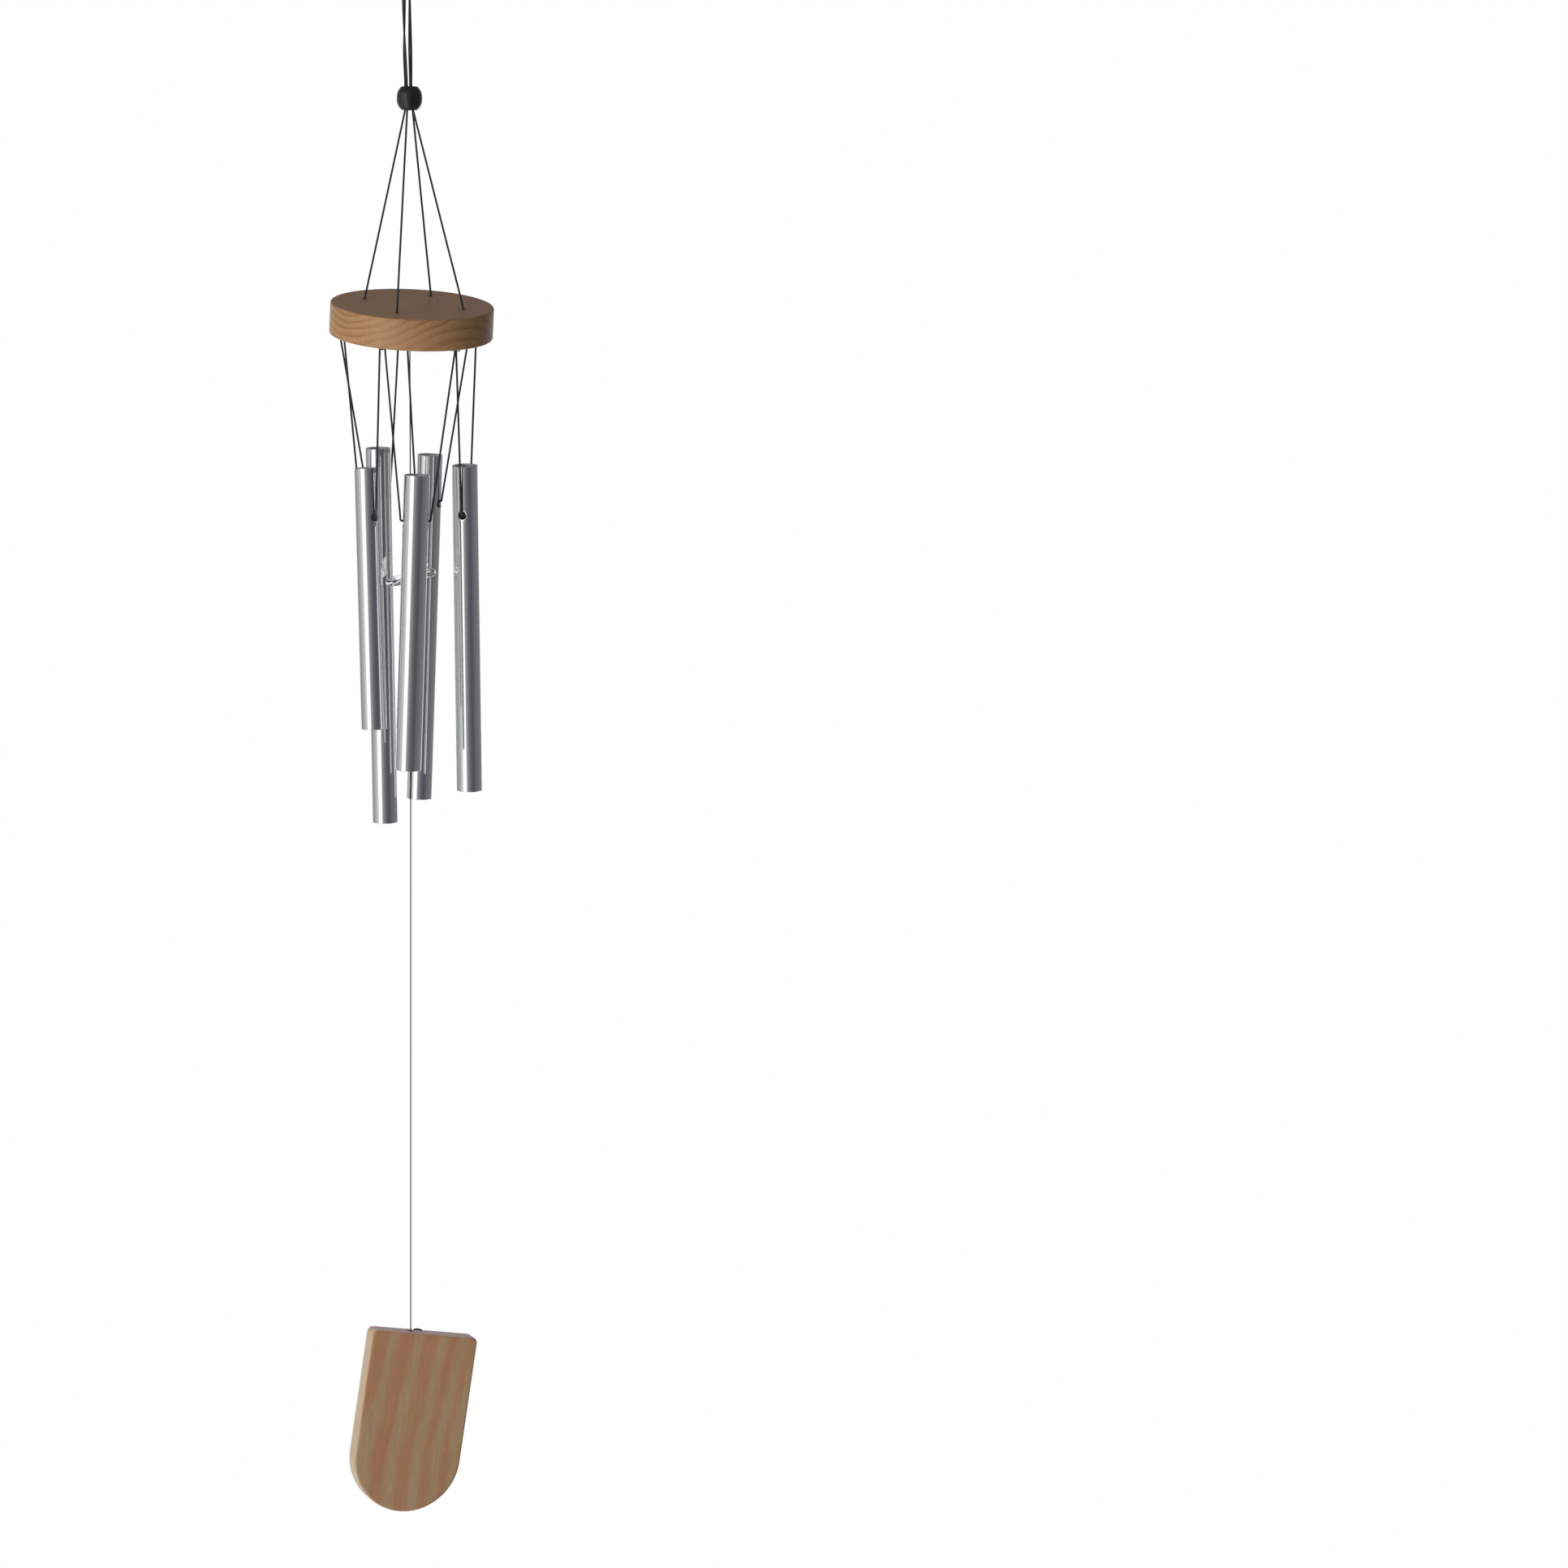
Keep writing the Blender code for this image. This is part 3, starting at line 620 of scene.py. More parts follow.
def make_ring(look):
    sides = 120
    angles = [2 * math.pi * i / sides for i in range(sides)]
    points = [RING_CENTRE + RING_R * Vector((math.sin(a), 0, math.cos(a))) for a in angles]
    ring = wire("hanging_ring_wire", points, RING_WIRE_R, look, 2 * math.pi * RING_R / sides,
                sides=20, closed=True, seam=[16])
    stands_for(ring, "hanging_ring")


def make_bead(look):
    steps = 26
    lip_steps = 5
    profile = []
    for i in range(lip_steps + 1):
        a = math.pi / 2 * i / lip_steps
        profile.append((BEAD_BORE_R + BEAD_LIP * (1 - math.cos(a)),
                        BEAD_HALF - BEAD_LIP * (1 - math.sin(a))))
    for i in range(steps + 1):
        height = math.sin(BEAD_ARC * (1 - 2 * i / steps)) / math.sin(BEAD_ARC)
        profile.append((BEAD_R * (1 - BEAD_PINCH * abs(height) ** BEAD_PINCH_POWER),
                        BEAD_HALF * height * BEAD_RIM_HEIGHT))
    for i in range(lip_steps + 1):
        a = math.pi / 2 * (1 - i / lip_steps)
        profile.append((BEAD_BORE_R + BEAD_LIP * (1 - math.cos(a)),
                        -BEAD_HALF + BEAD_LIP * (1 - math.sin(a))))
    mesh = turned_mesh("bead_turned", profile, 72)
    stands_for(show("bead_turned", mesh, look, Matrix.Translation(BEAD_CENTRE), 50), "bead")


def make_disc(look):
    """A turned disc with rounded rims, its four strand holes countersunk."""
    half = DISC_T / 2
    edge = DISC_EDGE
    steps = 6
    profile = [(0.0, half), (DISC_R - 2.2 * edge, half)]
    for side, first in ((1, 90), (-1, 0)):
        for i in range(steps + 1):
            a = math.radians(first - 90 * i / steps)
            profile.append((DISC_R - edge * (1 - math.cos(a)),
                            side * (half - edge) + edge * math.sin(a)))
        if side == 1:
            profile += [(DISC_R, z * MM) for z in (4.0, 0.0, -4.0)]
    profile += [(DISC_R - 2.2 * edge, -half), (0.0, -half)]
    mesh = turned_mesh("disc_turned", profile, 180, closed=False)
    disc = show("disc_turned", mesh, look, disc_frame(), 40)
    bits = []
    mouth = STRAND_HOLE_MOUTH
    for index in range(4):
        x, y = strand_hole(index)
        bits.append(drill_bit([
            (0, half + MM), (STRAND_HOLE_R + mouth + MM, half + MM),
            (STRAND_HOLE_R, half - mouth), (STRAND_HOLE_R, -half + mouth),
            (STRAND_HOLE_R + mouth + MM, -half - MM), (0, -half - MM),
        ], disc_frame() @ Matrix.Translation((x, y, 0))))
    for place in staple_frames().values():
        for side in (-1, 1):
            leg = place @ Matrix.Translation((side * STAPLE_SPAN / 2, 0, 0))
            depth = STAPLE_DEPTH + STAPLE_HOLE_SPARE
            bits.append(drill_bit([(0, depth), (STAPLE_HOLE_R, depth), (STAPLE_HOLE_R, -MM),
                                   (0, -MM)], leg, sides=12))
    stands_for(drilled(disc, bits), "disc")


def make_staples(look):
    half = STAPLE_SPAN / 2
    for name, place in staple_frames().items():
        side = [(half, STAPLE_DEPTH), (half, STAPLE_DEPTH / 2), (half, 0)]
        for i in range(9):
            a = math.radians(90 * i / 8)
            side.append((half - STAPLE_CORNER * (1 - math.cos(a)),
                         -CROWN_DROP + STAPLE_CORNER * (1 - math.sin(a))))
        outline = side + [(-x, z) for x, z in reversed(side)]
        points = [place @ Vector((x, 0, z)) for x, z in outline]
        stands_for(wire(name + "_wire", points, STAPLE_WIRE_R, look, 0.12 * MM, sides=14), name)


TUBE_SIDES = 96
PATCH = 7  # columns and rows from a hole's middle to the edge of the patch round it
HOLE_SINK = 0.12 * MM  # how far a hole's lip is pressed in
HOLE_SINK_REACH = 0.85 * MM


def tube_mesh(name, length):
    """A tube with a rounded-in lip at each of its two cross holes, in the tube's own frame."""
    top = TUBE_HOLE_DROP - CORD_RISE
    foot = top - length
    cell = 2 * math.pi * TUBE_R / TUBE_SIDES
    hole_z = -CORD_RISE
    above = np.linspace(top - TUBE_EDGE, hole_z + PATCH * cell, 9)[:-1]
    across = hole_z + cell * np.arange(PATCH, -PATCH - 1, -1)
    below = np.linspace(hole_z - PATCH * cell, foot + TUBE_EDGE, 26)[1:]
    rows = np.concatenate([above, across, below])
    hole_row = len(above) + PATCH
    verts, faces = [], []

    def point(radius, s, z):
        a = s / TUBE_R
        verts.append((radius * math.cos(a), radius * math.sin(a), z))
        return len(verts) - 1

    def strip(a, b):
        """The faces between two rings of points."""
        for i in range(len(a)):
            j = (i + 1) % len(a)
            faces.append((a[i], a[j], b[j], b[i]))

    def skin(radius):
        """One face of the wall, with its two holes.  Returns its end rings and hole rims."""
        grid = [[None] * TUBE_SIDES for _ in rows]
        rims = []
        half = TUBE_SIDES // 2
        for k, z in enumerate(rows):
            for i in range(TUBE_SIDES):
                off = [((i - c + half) % TUBE_SIDES) - half for c in (0, half)]
                if abs(k - hole_row) < PATCH and min(abs(o) for o in off) < PATCH:
                    continue
                grid[k][i] = point(radius, i * cell, z)
        for k in range(len(rows) - 1):
            for i in range(TUBE_SIDES):
                j = (i + 1) % TUBE_SIDES
                corners = (grid[k][i], grid[k + 1][i], grid[k + 1][j], grid[k][j])
                inside = any(
                    -PATCH <= ((i - c + half) % TUBE_SIDES) - half < PATCH for c in (0, half)
                ) and hole_row - PATCH <= k < hole_row + PATCH
                if not inside:
                    faces.append(corners)
        for c in (0, half):
            square = ([(x, -PATCH) for x in range(-PATCH, PATCH)]
                      + [(PATCH, y) for y in range(-PATCH, PATCH)]
                      + [(x, PATCH) for x in range(PATCH, -PATCH, -1)]
                      + [(-PATCH, y) for y in range(PATCH, -PATCH, -1)])
            outer = [grid[hole_row - y][(c + x) % TUBE_SIDES] for x, y in square]
            loops = [outer]
            for share in (0.62, 0.36, 0.18, 0.07, 0.0):
                loop = []
                for x, y in square:
                    reach = math.hypot(x, y)
                    ux, uy = x / reach, y / reach
                    rim_s = TUBE_R * math.asin(TUBE_HOLE_R * ux / TUBE_R)
                    s = rim_s + share * (x * cell - rim_s)
                    z = TUBE_HOLE_R * uy + share * (y * cell - TUBE_HOLE_R * uy)
                    out = math.hypot(s, z) - TUBE_HOLE_R
                    sink = HOLE_SINK * max(0.0, 1 - out / HOLE_SINK_REACH) ** 2
                    loop.append(point(radius - sink, c * cell + s, hole_z + z))
                loops.append(loop)
            for a, b in zip(loops, loops[1:]):
                strip(a, b)
            rims.append(loops[-1])
        return grid[0], grid[-1], rims

    inner_r = TUBE_R - TUBE_WALL
    top_out, foot_out, rims_out = skin(TUBE_R)
    top_in, foot_in, rims_in = skin(inner_r)
    for a, b in zip(rims_out, rims_in):
        strip(a, b)
    for out, inside, end in ((top_out, top_in, top), (foot_out, foot_in, foot)):
        outer = [point(TUBE_R - TUBE_EDGE, i * cell, end) for i in range(TUBE_SIDES)]
        inner = [point(inner_r + TUBE_EDGE, i * cell, end) for i in range(TUBE_SIDES)]
        for a, b in ((out, outer), (outer, inner), (inner, inside)):
            strip(a, b)
    mesh = bpy.data.meshes.new(name)
    mesh.from_pydata(verts, [], faces)
    bm = bmesh.new()
    bm.from_mesh(mesh)
    bmesh.ops.recalc_face_normals(bm, faces=bm.faces)
    bm.to_mesh(mesh)
    bm.free()
    return mesh


def make_tubes(look):
    for key, (_, _, _, _, length, _) in TUBES.items():
        node = "tube_" + key
        mesh = tube_mesh(node + "_drawn", length * MM)
        stands_for(show(node + "_drawn", mesh, look, tube_frame(key), 32), node)


def make_striker(look):
    half = STRIKER_T / 2
    mouth = STRIKER_BORE_MOUTH
    profile = [
        (STRIKER_BORE_R, half - mouth), (STRIKER_BORE_R + mouth, half),
        (STRIKER_R - STRIKER_BEVEL, half), (STRIKER_R, half - STRIKER_BEVEL),
        (STRIKER_R, -half + STRIKER_BEVEL), (STRIKER_R - STRIKER_BEVEL, -half),
        (STRIKER_BORE_R + mouth, -half), (STRIKER_BORE_R, -half + mouth),
    ]
    tilt = Matrix.Rotation(-STRIKER_LEFT_DOWN, 4, "Y")
    mesh = turned_mesh("striker_cut", profile, 128)
    obj = show("striker_cut", mesh, look, Matrix.Translation(STRIKER_CENTRE) @ tilt, 30)
    stands_for(obj, "striker")


def make_sail(look):
    """The board: its outline lofted round rounded edges, with a socket in its top edge."""
    half = SAIL_W / 2
    outline = []
    for corner_x, start in ((half - SAIL_CORNER, 0), (-half + SAIL_CORNER, 90)):
        for i in range(9):
            a = math.radians(start + 90 * i / 8)
            outline.append((corner_x + SAIL_CORNER * math.cos(a),
                            -SAIL_CORNER + SAIL_CORNER * math.sin(a)))
    steps = 72
    outline += [(-half, -z * SAIL_STRAIGHT / 6) for z in range(1, 6)]
    outline += [(half * math.cos(math.pi + math.pi * i / steps),
                 -SAIL_STRAIGHT + half * math.sin(math.pi + math.pi * i / steps))
                for i in range(steps + 1)]
    outline += [(half, -z * SAIL_STRAIGHT / 6) for z in range(5, 0, -1)]
    line = np.array(outline)
    ahead = np.roll(line, -1, 0) - np.roll(line, 1, 0)
    ahead /= np.linalg.norm(ahead, axis=1)[:, None]
    inward = np.stack([-ahead[:, 1], ahead[:, 0]], 1)
    arc = 7
    section = [(2.6 * SAIL_EDGE, -SAIL_T / 2)]
    for side, first in ((-1, 270), (1, 0)):
        for i in range(arc + 1):
            a = math.radians(first + 90 * i / arc)
            section.append((SAIL_EDGE * (1 - math.cos(a)),
                            side * (SAIL_T / 2 - SAIL_EDGE) + SAIL_EDGE * math.sin(a)))
        if side == -1:
            section.append((0.0, 0.0))
    section.append((2.6 * SAIL_EDGE, SAIL_T / 2))
    bm = bmesh.new()
    rings = []
    for inset, y in section:
        ring = line + inward * inset
        rings.append([bm.verts.new((x + SAIL_OFFSET, y, z)) for x, z in ring])
    count = len(outline)
    for a, b in zip(rings, rings[1:]):
        for i in range(count):
            bm.faces.new((a[i], a[(i + 1) % count], b[(i + 1) % count], b[i]))
    bm.faces.new(rings[0])
    bm.faces.new(rings[-1])
    bmesh.ops.recalc_face_normals(bm, faces=bm.faces)
    mesh = bpy.data.meshes.new("sail_board")
    bm.to_mesh(mesh)
    bm.free()
    sail = show("sail_board", mesh, look, sail_frame(), 40)
    socket = sail_frame() @ Matrix.Translation((0, 0, -SAIL_HOLE_DEPTH))
    bit = drill_bit([(0, 0), (SAIL_HOLE_R, 0), (SAIL_HOLE_R, SAIL_HOLE_DEPTH - 0.3 * MM),
                     (SAIL_HOLE_R + SAIL_SOCKET_BEVEL, SAIL_HOLE_DEPTH + MM),
                     (0, SAIL_HOLE_DEPTH + MM)],
                    socket, sides=32)
    stands_for(drilled(sail, [bit]), "sail")


# ---------------------------------------------------------------- materials

def start(name):
    """A new material, its node tree and its main shader."""
    made = bpy.data.materials.new(name)
    made.use_nodes = True
    return made, made.node_tree, made.node_tree.nodes["Principled BSDF"]


def put(tree, kind, inputs=None, **settings):
    """Adds a node.  An input that is a socket is linked, and anything else is its value."""
    made = tree.nodes.new("ShaderNode" + kind)
    for key, value in settings.items():
        setattr(made, key, value)
    for key, value in (inputs or {}).items():
        if isinstance(value, bpy.types.NodeSocket):
            tree.links.new(value, made.inputs[key])
        else:
            made.inputs[key].default_value = value
    return made


def ramp(tree, factor, *stops):
    """A colour ramp through (position, colour) stops."""
    made = put(tree, "ValToRGB", {"Fac": factor})
    elements = made.color_ramp.elements
    for position, _ in stops[1:-1]:
        elements.new(position)
    for element, (position, colour) in zip(elements, stops):
        element.position = position
        element.color = (*colour, 1) if len(colour) == 3 else colour
    return made.outputs["Color"]


def grey(value):
    return (value, value, value)


def mix(tree, factor, a, b, kind="MIX"):
    made = put(tree, "Mix", {"Factor": factor}, data_type="RGBA", blend_type=kind)
    for socket, value in ((made.inputs[6], a), (made.inputs[7], b)):
        if isinstance(value, bpy.types.NodeSocket):
            tree.links.new(value, socket)
        else:
            socket.default_value = (*value, 1)
    return made.outputs[2]


def maths(tree, operation, a, b=0.0, c=0.0):
    return put(tree, "Math", {0: a, 1: b, 2: c}, operation=operation).outputs[0]


def scaled(tree, at, scale):
    return put(tree, "Mapping", {"Vector": at, "Scale": scale}).outputs[0]


def noise(tree, at, scale, detail):
    return put(tree, "TexNoise", {"Vector": at, "Scale": scale, "Detail": detail}).outputs["Fac"]


def size_of(tree, vector):
    return put(tree, "VectorMath", {0: vector}, operation="LENGTH").outputs["Value"]


def relief(tree, shader, height, strength, distance):
    bump = put(tree, "Bump", {"Height": height, "Strength": strength, "Distance": distance})
    tree.links.new(bump.outputs[0], shader.inputs["Normal"])


def set_inputs(shader, **values):
    for key, value in values.items():
        shader.inputs[key.replace("_", " ")].default_value = value


def look_cord():
    made, tree, shader = start("braided_cord")
    weave = put(tree, "UVMap", uv_map="weave").outputs["UV"]
    fibre = scaled(tree, weave, (6, 6, 1))
    fuzz = noise(tree, fibre, 2.0, 4.0)
    colour = ramp(tree, fuzz, (0.25, (0.012, 0.013, 0.016)), (0.75, (0.040, 0.044, 0.050)))
    tree.links.new(colour, shader.inputs["Base Color"])
    set_inputs(shader, Roughness=0.75, Sheen_Weight=0.08, Sheen_Roughness=0.5)
    shader.inputs["Sheen Tint"].default_value = (0.6, 0.66, 0.75, 1)
    relief(tree, shader, fuzz, 0.4, 0.00005)
    return made


def look_aluminium():
    made, tree, shader = start("drawn_aluminium")
    place = put(tree, "TexCoord").outputs["Object"]
    lines = scaled(tree, place, (900, 900, 4))
    draw = noise(tree, lines, 1.0, 3.0)
    wide = scaled(tree, place, (240, 240, 5))
    band = noise(tree, wide, 1.0, 2.0)
    pits = put(tree, "TexVoronoi", {"Vector": place, "Scale": 300.0}).outputs["Distance"]
    pit = ramp(tree, pits, (0.02, grey(1)), (0.07, grey(0)))
    colour = mix(tree, band, (0.74, 0.75, 0.755), (0.84, 0.845, 0.85))
    tree.links.new(colour, shader.inputs["Base Color"])
    flat = put(tree, "VectorMath", {0: place, 1: (1, 1, 0)}, operation="MULTIPLY").outputs[0]
    reach = size_of(tree, flat)
    inside = maths(tree, "LESS_THAN", reach, TUBE_R - TUBE_WALL / 2)
    rough = maths(tree, "MULTIPLY_ADD", draw, 0.06, 0.05)
    rough = maths(tree, "MULTIPLY_ADD", inside, 0.5, rough)
    tree.links.new(maths(tree, "MULTIPLY_ADD", pit, 0.15, rough), shader.inputs["Roughness"])
    set_inputs(shader, Metallic=1.0)
    bump = put(tree, "Bump", {"Height": draw, "Strength": 0.12, "Distance": 0.00001})
    dent = put(tree, "Bump", {"Height": pit, "Strength": 0.3, "Distance": 0.00003,
                              "Normal": bump.outputs[0]}, invert=True)
    tree.links.new(dent.outputs[0], shader.inputs["Normal"])
    return made


def look_steel():
    made, tree, shader = start("bright_steel")
    place = put(tree, "TexCoord").outputs["Object"]
    wear = noise(tree, place, 2500.0, 3.0)
    colour = ramp(tree, wear, (0.3, (0.42, 0.43, 0.44)), (0.7, (0.62, 0.63, 0.64)))
    tree.links.new(colour, shader.inputs["Base Color"])
    rough = maths(tree, "MULTIPLY_ADD", wear, 0.2, 0.15)
    tree.links.new(rough, shader.inputs["Roughness"])
    set_inputs(shader, Metallic=1.0)
    relief(tree, shader, wear, 0.2, 0.00003)
    return made


def look_bead():
    made, tree, shader = start("dark_lacquered_wood")
    place = put(tree, "TexCoord").outputs["Object"]
    grain = scaled(tree, place, (2600, 2600, 240))
    pore = noise(tree, grain, 1.0, 4.0)
    colour = ramp(tree, pore, (0.3, (0.010, 0.009, 0.009)), (0.75, (0.027, 0.022, 0.022)))
    tree.links.new(colour, shader.inputs["Base Color"])
    tree.links.new(maths(tree, "MULTIPLY_ADD", pore, 0.12, 0.16), shader.inputs["Roughness"])
    relief(tree, shader, pore, 0.3, 0.00004)
    return made


def swayed(tree, place, scale, reach):
    """The place, pushed about by a slow noise."""
    slow = scaled(tree, place, scale)
    sway = put(tree, "TexNoise", {"Vector": slow, "Scale": 1.0, "Detail": 2.0}).outputs["Color"]
    centred = put(tree, "VectorMath", {0: sway, 1: (0.5, 0.5, 0.5)}, operation="SUBTRACT")
    push = put(tree, "VectorMath", {0: centred.outputs[0], "Scale": reach}, operation="SCALE")
    return put(tree, "VectorMath", {0: place, 1: push.outputs[0]}, operation="ADD").outputs[0]


def varnished(tree, shader, colour, late, fibre_at):
    """Colour, gloss and relief of satin-varnished pine.  late is 1 in the dark growth lines."""
    fibre = noise(tree, fibre_at, 1.0, 5.0)
    streak = ramp(tree, fibre, (0.3, grey(0.88)), (0.7, grey(1.06)))
    tree.links.new(mix(tree, 1.0, colour, streak, "MULTIPLY"), shader.inputs["Base Color"])
    tree.links.new(maths(tree, "MULTIPLY_ADD", fibre, 0.15, 0.47), shader.inputs["Roughness"])
    set_inputs(shader, Coat_Weight=0.15, Coat_Roughness=0.3)
    height = maths(tree, "MULTIPLY_ADD", fibre, 0.5, late)
    relief(tree, shader, height, 0.25, 0.0001)


DISC_GRAIN = math.radians(-50)  # azimuth that the grain runs towards, from the front
DISC_PITH_Z = 47 * MM  # the middle of the log above the disc
DISC_PITH_Y = -4 * MM
DISC_RING = 3.5 * MM
PIT_AT = (12.7 * MM, 14.4 * MM, DISC_T / 2)  # a small pit in the top, painted as a dark spot: painted shade, as the mesh has no hollow there
PIT_HALF_W = 0.55 * MM
PIT_HALF_L = 1.7 * MM


def look_disc():
    """Rings about a pith line above the disc: arcs on its front left, lines on its right."""
    made, tree, shader = start("pine_disc")
    coord = put(tree, "TexCoord").outputs
    # X along the grain, Y across it
    turn = put(tree, "Mapping", {"Vector": coord["Object"],
                                 "Rotation": (0, 0, math.pi / 2 - DISC_GRAIN)})
    bent = swayed(tree, turn.outputs[0], (25, 45, 60), 0.006)
    flat = put(tree, "VectorMath", {0: bent, 1: (0, 1, 1)}, operation="MULTIPLY").outputs[0]
    away = put(tree, "VectorMath", {0: flat, 1: (0, DISC_PITH_Y, DISC_PITH_Z)},
               operation="SUBTRACT")
    reach = size_of(tree, away.outputs[0])
    patch = scaled(tree, bent, (40, 40, 90))
    patchy = noise(tree, patch, 1.0, 1.0)
    depth = ramp(tree, patchy, (0.35, grey(0.35)), (0.65, grey(1)))
    tooth = maths(tree, "FRACT", maths(tree, "MULTIPLY", reach, 1 / DISC_RING))
    ring = ramp(tree, tooth, (0.0, grey(0.05)), (0.4, grey(0.15)), (0.72, grey(0.9)),
                (0.85, grey(1.0)), (1.0, grey(0.05)))
    up = put(tree, "SeparateXYZ", {0: coord["Normal"]}).outputs[2]
    level = ramp(tree, maths(tree, "ABSOLUTE", up), (0.6, grey(1)), (0.95, grey(0.3)))
    late = maths(tree, "MULTIPLY", maths(tree, "MULTIPLY", ring, depth), level)
    colour = mix(tree, late, (0.43, 0.233, 0.099), (0.30, 0.123, 0.045))
    colour = mix(tree, maths(tree, "MULTIPLY", patchy, 0.35), colour, (0.37, 0.22, 0.095))
    # Painted shade: a near-black spot stands in for the shade inside the small pit, which the mesh
    # does not have.
    from_pit = put(tree, "VectorMath", {0: coord["Object"], 1: PIT_AT}, operation="SUBTRACT")
    narrow, long = 0.5 / PIT_HALF_W, 0.5 / PIT_HALF_L
    pit_shade_spot = put(tree, "VectorMath", {0: from_pit.outputs[0], 1: (narrow, long, narrow)},
               operation="MULTIPLY")
    pit_shade_spot = size_of(tree, pit_shade_spot.outputs[0])
    pit = ramp(tree, pit_shade_spot, (0.35, grey(1)), (0.5, grey(0)))
    colour = mix(tree, pit, colour, (0.06, 0.035, 0.025))
    fibre_at = scaled(tree, bent, (60, 1100, 1100))
    varnished(tree, shader, colour, late, fibre_at)
    return made


# Middles of the sail's pale stripes, in mm from its left side at its top edge
SAIL_PALE = (12.8, 25.2, 37.8, 47.8, 56.8)
SAIL_PALE_HALF = 2.6
SAIL_GRAIN_LEAN = 0.105  # how far the stripes move to the left, of the way down
SAIL_GRAIN_BEND_FROM = 45 * MM  # below this depth the grain turns back upright
SAIL_GRAIN_BEND = 2.2
SAIL_SPAN = 66.0


def look_sail():
    """Plain-sawn pine: broad pale and orange stripes leaning across the front, and painted light:
    its edges painted pale and its top paler still, by which way each face points.
    """
    made, tree, shader = start("pine_sail")
    coord = put(tree, "TexCoord").outputs
    bent = swayed(tree, coord["Object"], (22, 22, 26), 0.0055)
    parts = put(tree, "SeparateXYZ", {0: bent}).outputs
    left = SAIL_W / 2 - SAIL_OFFSET
    across = maths(tree, "ADD", parts[0], left)
    across = maths(tree, "MULTIPLY_ADD", parts[2], -SAIL_GRAIN_LEAN, across)
    deep = maths(tree, "MULTIPLY_ADD", parts[2], -1.0, -SAIL_GRAIN_BEND_FROM)
    deep = maths(tree, "MAXIMUM", deep, 0.0)
    across = maths(tree, "MULTIPLY_ADD", maths(tree, "MULTIPLY", deep, deep),
                   -SAIL_GRAIN_BEND, across)
    share = maths(tree, "MULTIPLY", across, 1 / (SAIL_SPAN * MM))
    stops = [(0.0, grey(0))]
    for middle in SAIL_PALE:
        for offset, level in ((-1.5, 0), (-0.6, 1), (0.6, 1), (1.5, 0)):
            stops.append(((middle + offset * SAIL_PALE_HALF) / SAIL_SPAN, grey(level)))
    stripes = ramp(tree, share, *stops)
    # The first pale stripe spreads to the left side lower down
    below = maths(tree, "MULTIPLY_ADD", parts[2], -1.0, maths(tree, "MULTIPLY", across, 4.9))
    low = ramp(tree, maths(tree, "MULTIPLY", below, 10.0), (0.78, grey(0)), (0.85, grey(1)))
    near = ramp(tree, share, (14.0 / SAIL_SPAN, grey(1)), (16.2 / SAIL_SPAN, grey(0)))
    pale = maths(tree, "MAXIMUM", stripes, maths(tree, "MULTIPLY", low, near))
    cloud = scaled(tree, bent, (60, 60, 25))
    warm = noise(tree, cloud, 1.0, 2.0)
    orange = ramp(tree, warm, (0.35, (0.52, 0.279, 0.143)), (0.65, (0.51, 0.243, 0.121)))
    straw = ramp(tree, warm, (0.35, (0.50, 0.337, 0.190)), (0.65, (0.51, 0.308, 0.158)))
    colour = mix(tree, pale, orange, straw)
    # Painted light: faces that point neither front nor back, its edges, are painted a pale colour
    # that stands in for the light falling on them.
    facing = put(tree, "SeparateXYZ", {0: coord["Normal"]}).outputs
    edge = ramp(tree, maths(tree, "ABSOLUTE", facing[1]), (0.35, grey(1)), (0.9, grey(0)))
    colour = mix(tree, edge, colour, (0.60, 0.455, 0.31))
    # Painted light: the top face is painted paler still, standing in for light on it; this is not
    # the colour of its end grain.
    painted_top_light = ramp(tree, facing[2], (0.6, grey(0)), (0.9, grey(1)))
    colour = mix(tree, painted_top_light, colour, (0.88, 0.66, 0.56))
    fibre_at = scaled(tree, bent, (1300, 1300, 50))
    varnished(tree, shader, colour, maths(tree, "SUBTRACT", 1.0, pale), fibre_at)
    return made


def look_clear():
    made, tree, shader = start("clear_acrylic")
    place = put(tree, "TexCoord").outputs["Object"]
    swirl = noise(tree, place, 900.0, 3.0)
    tree.links.new(maths(tree, "MULTIPLY_ADD", swirl, 0.06, 0.01), shader.inputs["Roughness"])
    shader.inputs["Base Color"].default_value = (0.93, 0.96, 0.955, 1)
    set_inputs(shader, IOR=1.49, Transmission_Weight=1.0)
    relief(tree, shader, swirl, 0.08, 0.00002)
    return made


# ---------------------------------------------------------------- studio

# How bright the room is round the chime, by azimuth from the camera, positive to the right
ROOM = (
    (-180, (0.26, 0.27, 0.275)), (-128, (0.33, 0.345, 0.34)), (-114, (0.36, 0.38, 0.375)),
    (-92, (0.48, 0.50, 0.49)), (-72, (0.64, 0.67, 0.66)), (-60, (0.80, 0.81, 0.80)),
    (-57.5, (0.79, 0.80, 0.79)), (-56, (1.4, 1.4, 1.4)), (-26, (1.4, 1.4, 1.4)),
    (-24.5, (0.52, 0.52, 0.51)), (-14, (0.34, 0.34, 0.335)), (-3, (0.24, 0.24, 0.24)),
    (10, (0.16, 0.162, 0.168)), (20, (0.125, 0.129, 0.14)), (32, (0.098, 0.104, 0.122)),
    (48, (0.100, 0.106, 0.122)), (60, (0.15, 0.152, 0.16)), (82, (0.175, 0.175, 0.182)),
    (114, (0.225, 0.225, 0.23)), (150, (0.24, 0.245, 0.25)), (180, (0.26, 0.27, 0.275)),
)
BACKDROP_FROM = 143  # the white backdrop fills the azimuths beyond this, low down
ABOVE = (0.19, 0.185, 0.235)  # the room above the chime
FLOOR_HALF = 30
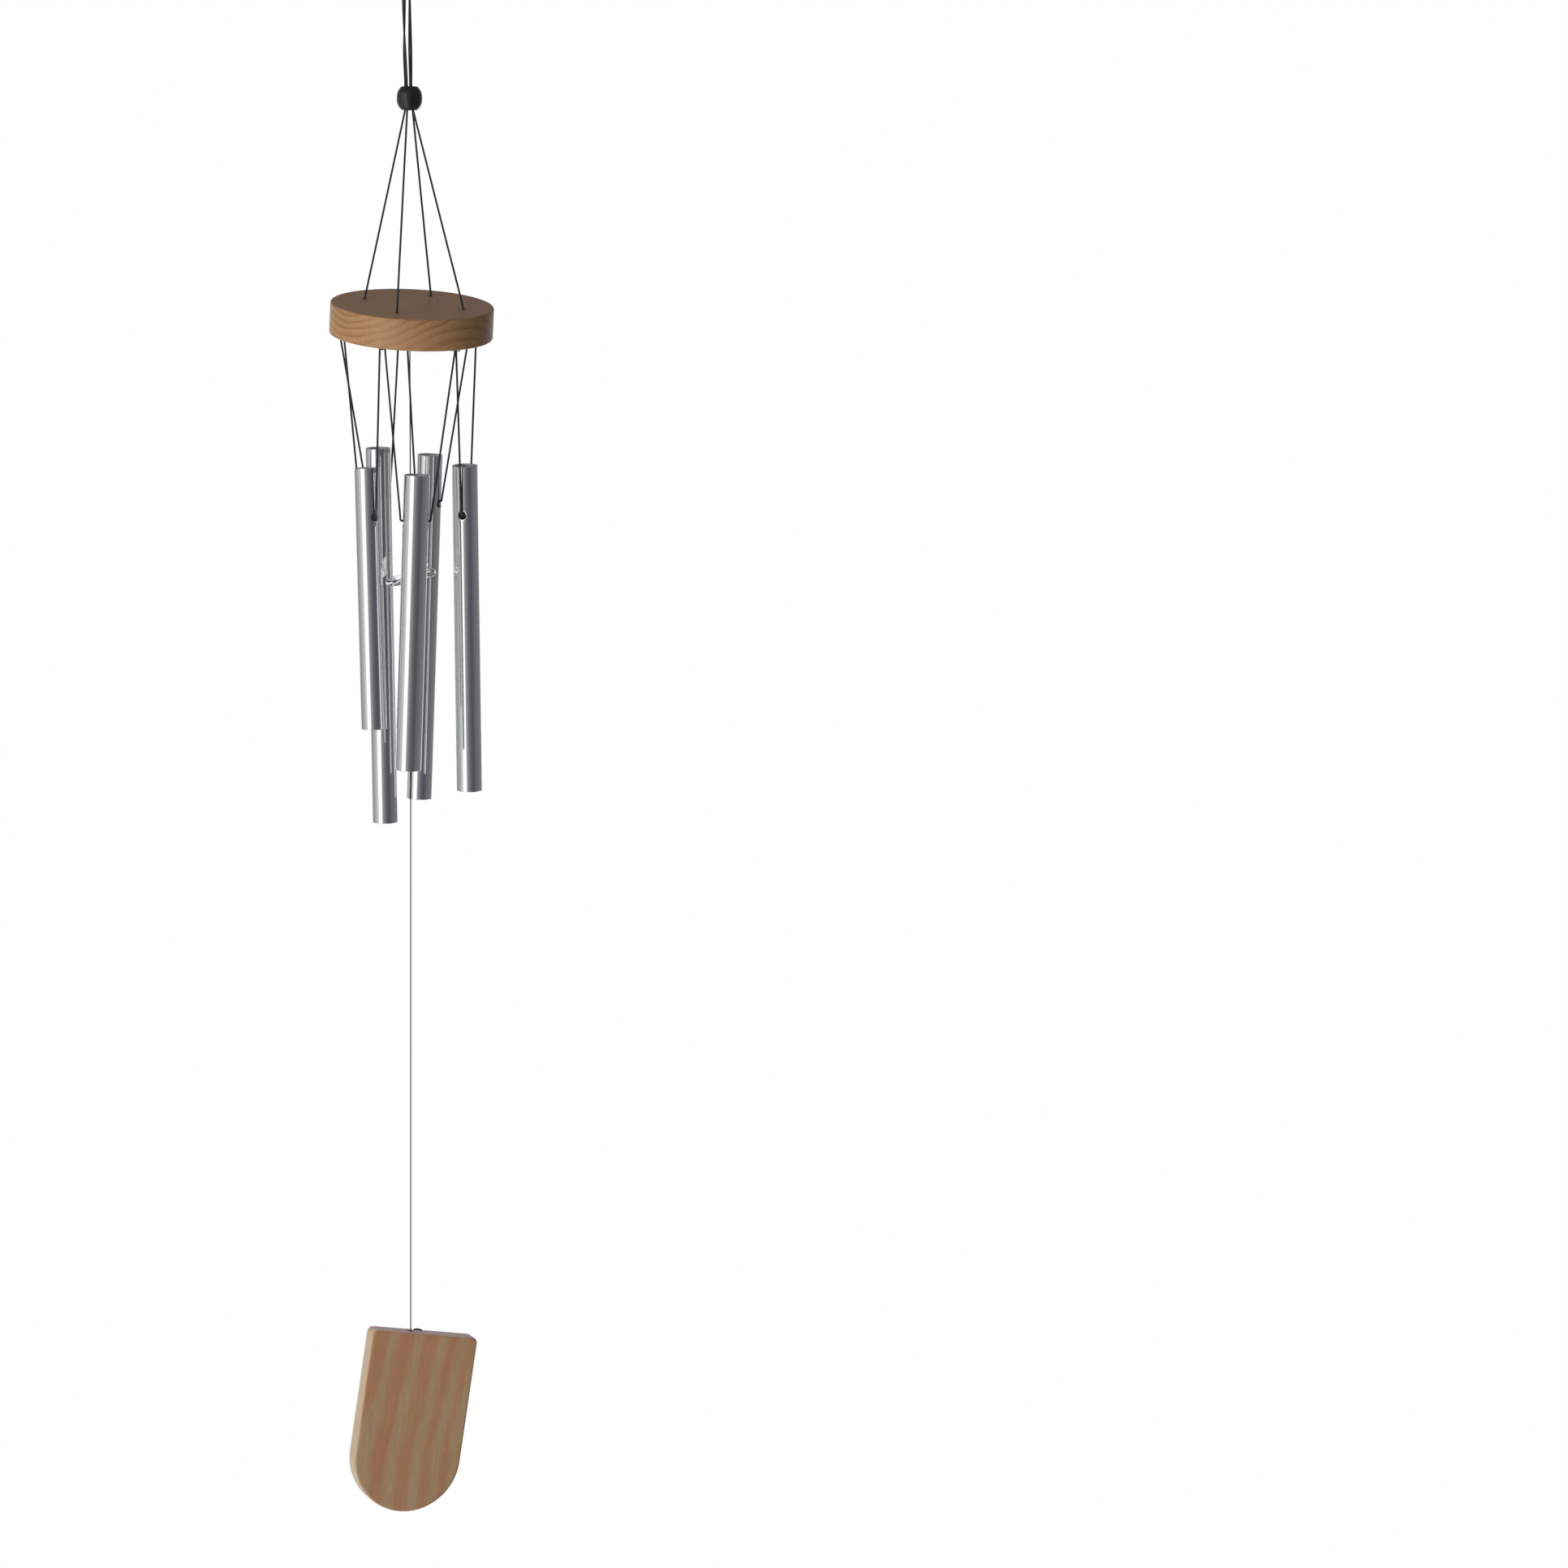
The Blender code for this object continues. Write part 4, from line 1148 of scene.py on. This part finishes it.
FLOOR_DROP = 2.3  # below the sail, so that a view from below is above it
LAMP_AZIMUTH = math.radians(-36)  # from the camera, to its left
LAMP_DISTANCE = 2.0
LAMP_HEIGHT = 0.1
LAMP_WIDE, LAMP_TALL = 1.2, 2.6
LAMP_POWER = 22


def make_world():
    """White to the camera; to the object a room that dims towards the front right."""
    world = bpy.data.worlds.new("studio")
    bpy.context.scene.world = world
    world.use_nodes = True
    tree = world.node_tree
    back = tree.nodes["Background"]
    where = put(tree, "TexCoord").outputs["Generated"]
    parts = put(tree, "SeparateXYZ", {0: where}).outputs
    turn = maths(tree, "ARCTAN2", parts[0], maths(tree, "MULTIPLY", parts[1], -1.0))
    share = maths(tree, "MULTIPLY_ADD", turn, 1 / (2 * math.pi), 0.5)
    room = ramp(tree, share, *(((azimuth + 180) / 360, tone) for azimuth, tone in ROOM))
    rise = ramp(tree, parts[2], (0.35, grey(0)), (0.75, grey(1)))
    room = mix(tree, rise, room, ABOVE)
    round_back = maths(tree, "ABSOLUTE", maths(tree, "MULTIPLY", turn, 1 / math.pi))
    behind = ramp(tree, round_back, ((BACKDROP_FROM - 4) / 180, grey(0)),
                  ((BACKDROP_FROM + 4) / 180, grey(1)))
    low = ramp(tree, parts[2], (0.10, grey(1)), (0.20, grey(0)))
    room = mix(tree, maths(tree, "MULTIPLY", behind, low), room, (1, 1, 1))
    path = put(tree, "LightPath").outputs
    seen = maths(tree, "MAXIMUM", path["Is Camera Ray"], path["Is Transmission Ray"])
    tree.links.new(mix(tree, seen, room, (1, 1, 1)), back.inputs["Color"])


def make_floor():
    """A plain white floor well below the sail, seen by the camera alone."""
    size = FLOOR_HALF
    mesh = bpy.data.meshes.new("floor")
    mesh.from_pydata([(-size, -size, 0), (size, -size, 0), (size, size, 0), (-size, size, 0)],
                     [], [(0, 1, 2, 3)])
    made, tree, shader = start("plain_floor")
    shader.inputs["Base Color"].default_value = (0, 0, 0, 1)
    shader.inputs["Emission Color"].default_value = (1, 1, 1, 1)
    set_inputs(shader, Roughness=1.0, Specular_IOR_Level=0.0, Emission_Strength=1.0)
    mesh.materials.append(made)
    floor = bpy.data.objects.new("floor", mesh)
    floor.location.z = CAD_BOX[0].z - FLOOR_DROP
    floor.visible_diffuse = False
    floor.visible_glossy = False
    floor.visible_shadow = False
    link(floor)


def make_lamp():
    """A soft panel aimed at the chime.  Its reflection is the bright band in ROOM."""
    data = bpy.data.lights.new("key", "AREA")
    data.shape = "RECTANGLE"
    data.size, data.size_y = LAMP_WIDE, LAMP_TALL
    data.energy = LAMP_POWER
    lamp = bpy.data.objects.new("key", data)
    middle = (CAD_BOX[0] + CAD_BOX[1]) / 2
    lamp.location = middle + Vector((math.sin(LAMP_AZIMUTH) * LAMP_DISTANCE,
                                     -math.cos(LAMP_AZIMUTH) * LAMP_DISTANCE, LAMP_HEIGHT))
    lamp.rotation_euler = (middle - lamp.location).to_track_quat("-Z", "Y").to_euler()
    lamp.visible_camera = False
    lamp.visible_glossy = False
    link(lamp)


def make_studio():
    make_world()
    make_floor()
    make_lamp()
    view = bpy.context.scene.view_settings
    view.view_transform = "Standard"
    view.look = "None"


make_camera()
make_cords(look_cord())
STEEL = look_steel()
make_ring(STEEL)
make_staples(STEEL)
make_bead(look_bead())
make_disc(look_disc())
make_tubes(look_aluminium())
make_striker(look_clear())
make_sail(look_sail())
make_studio()
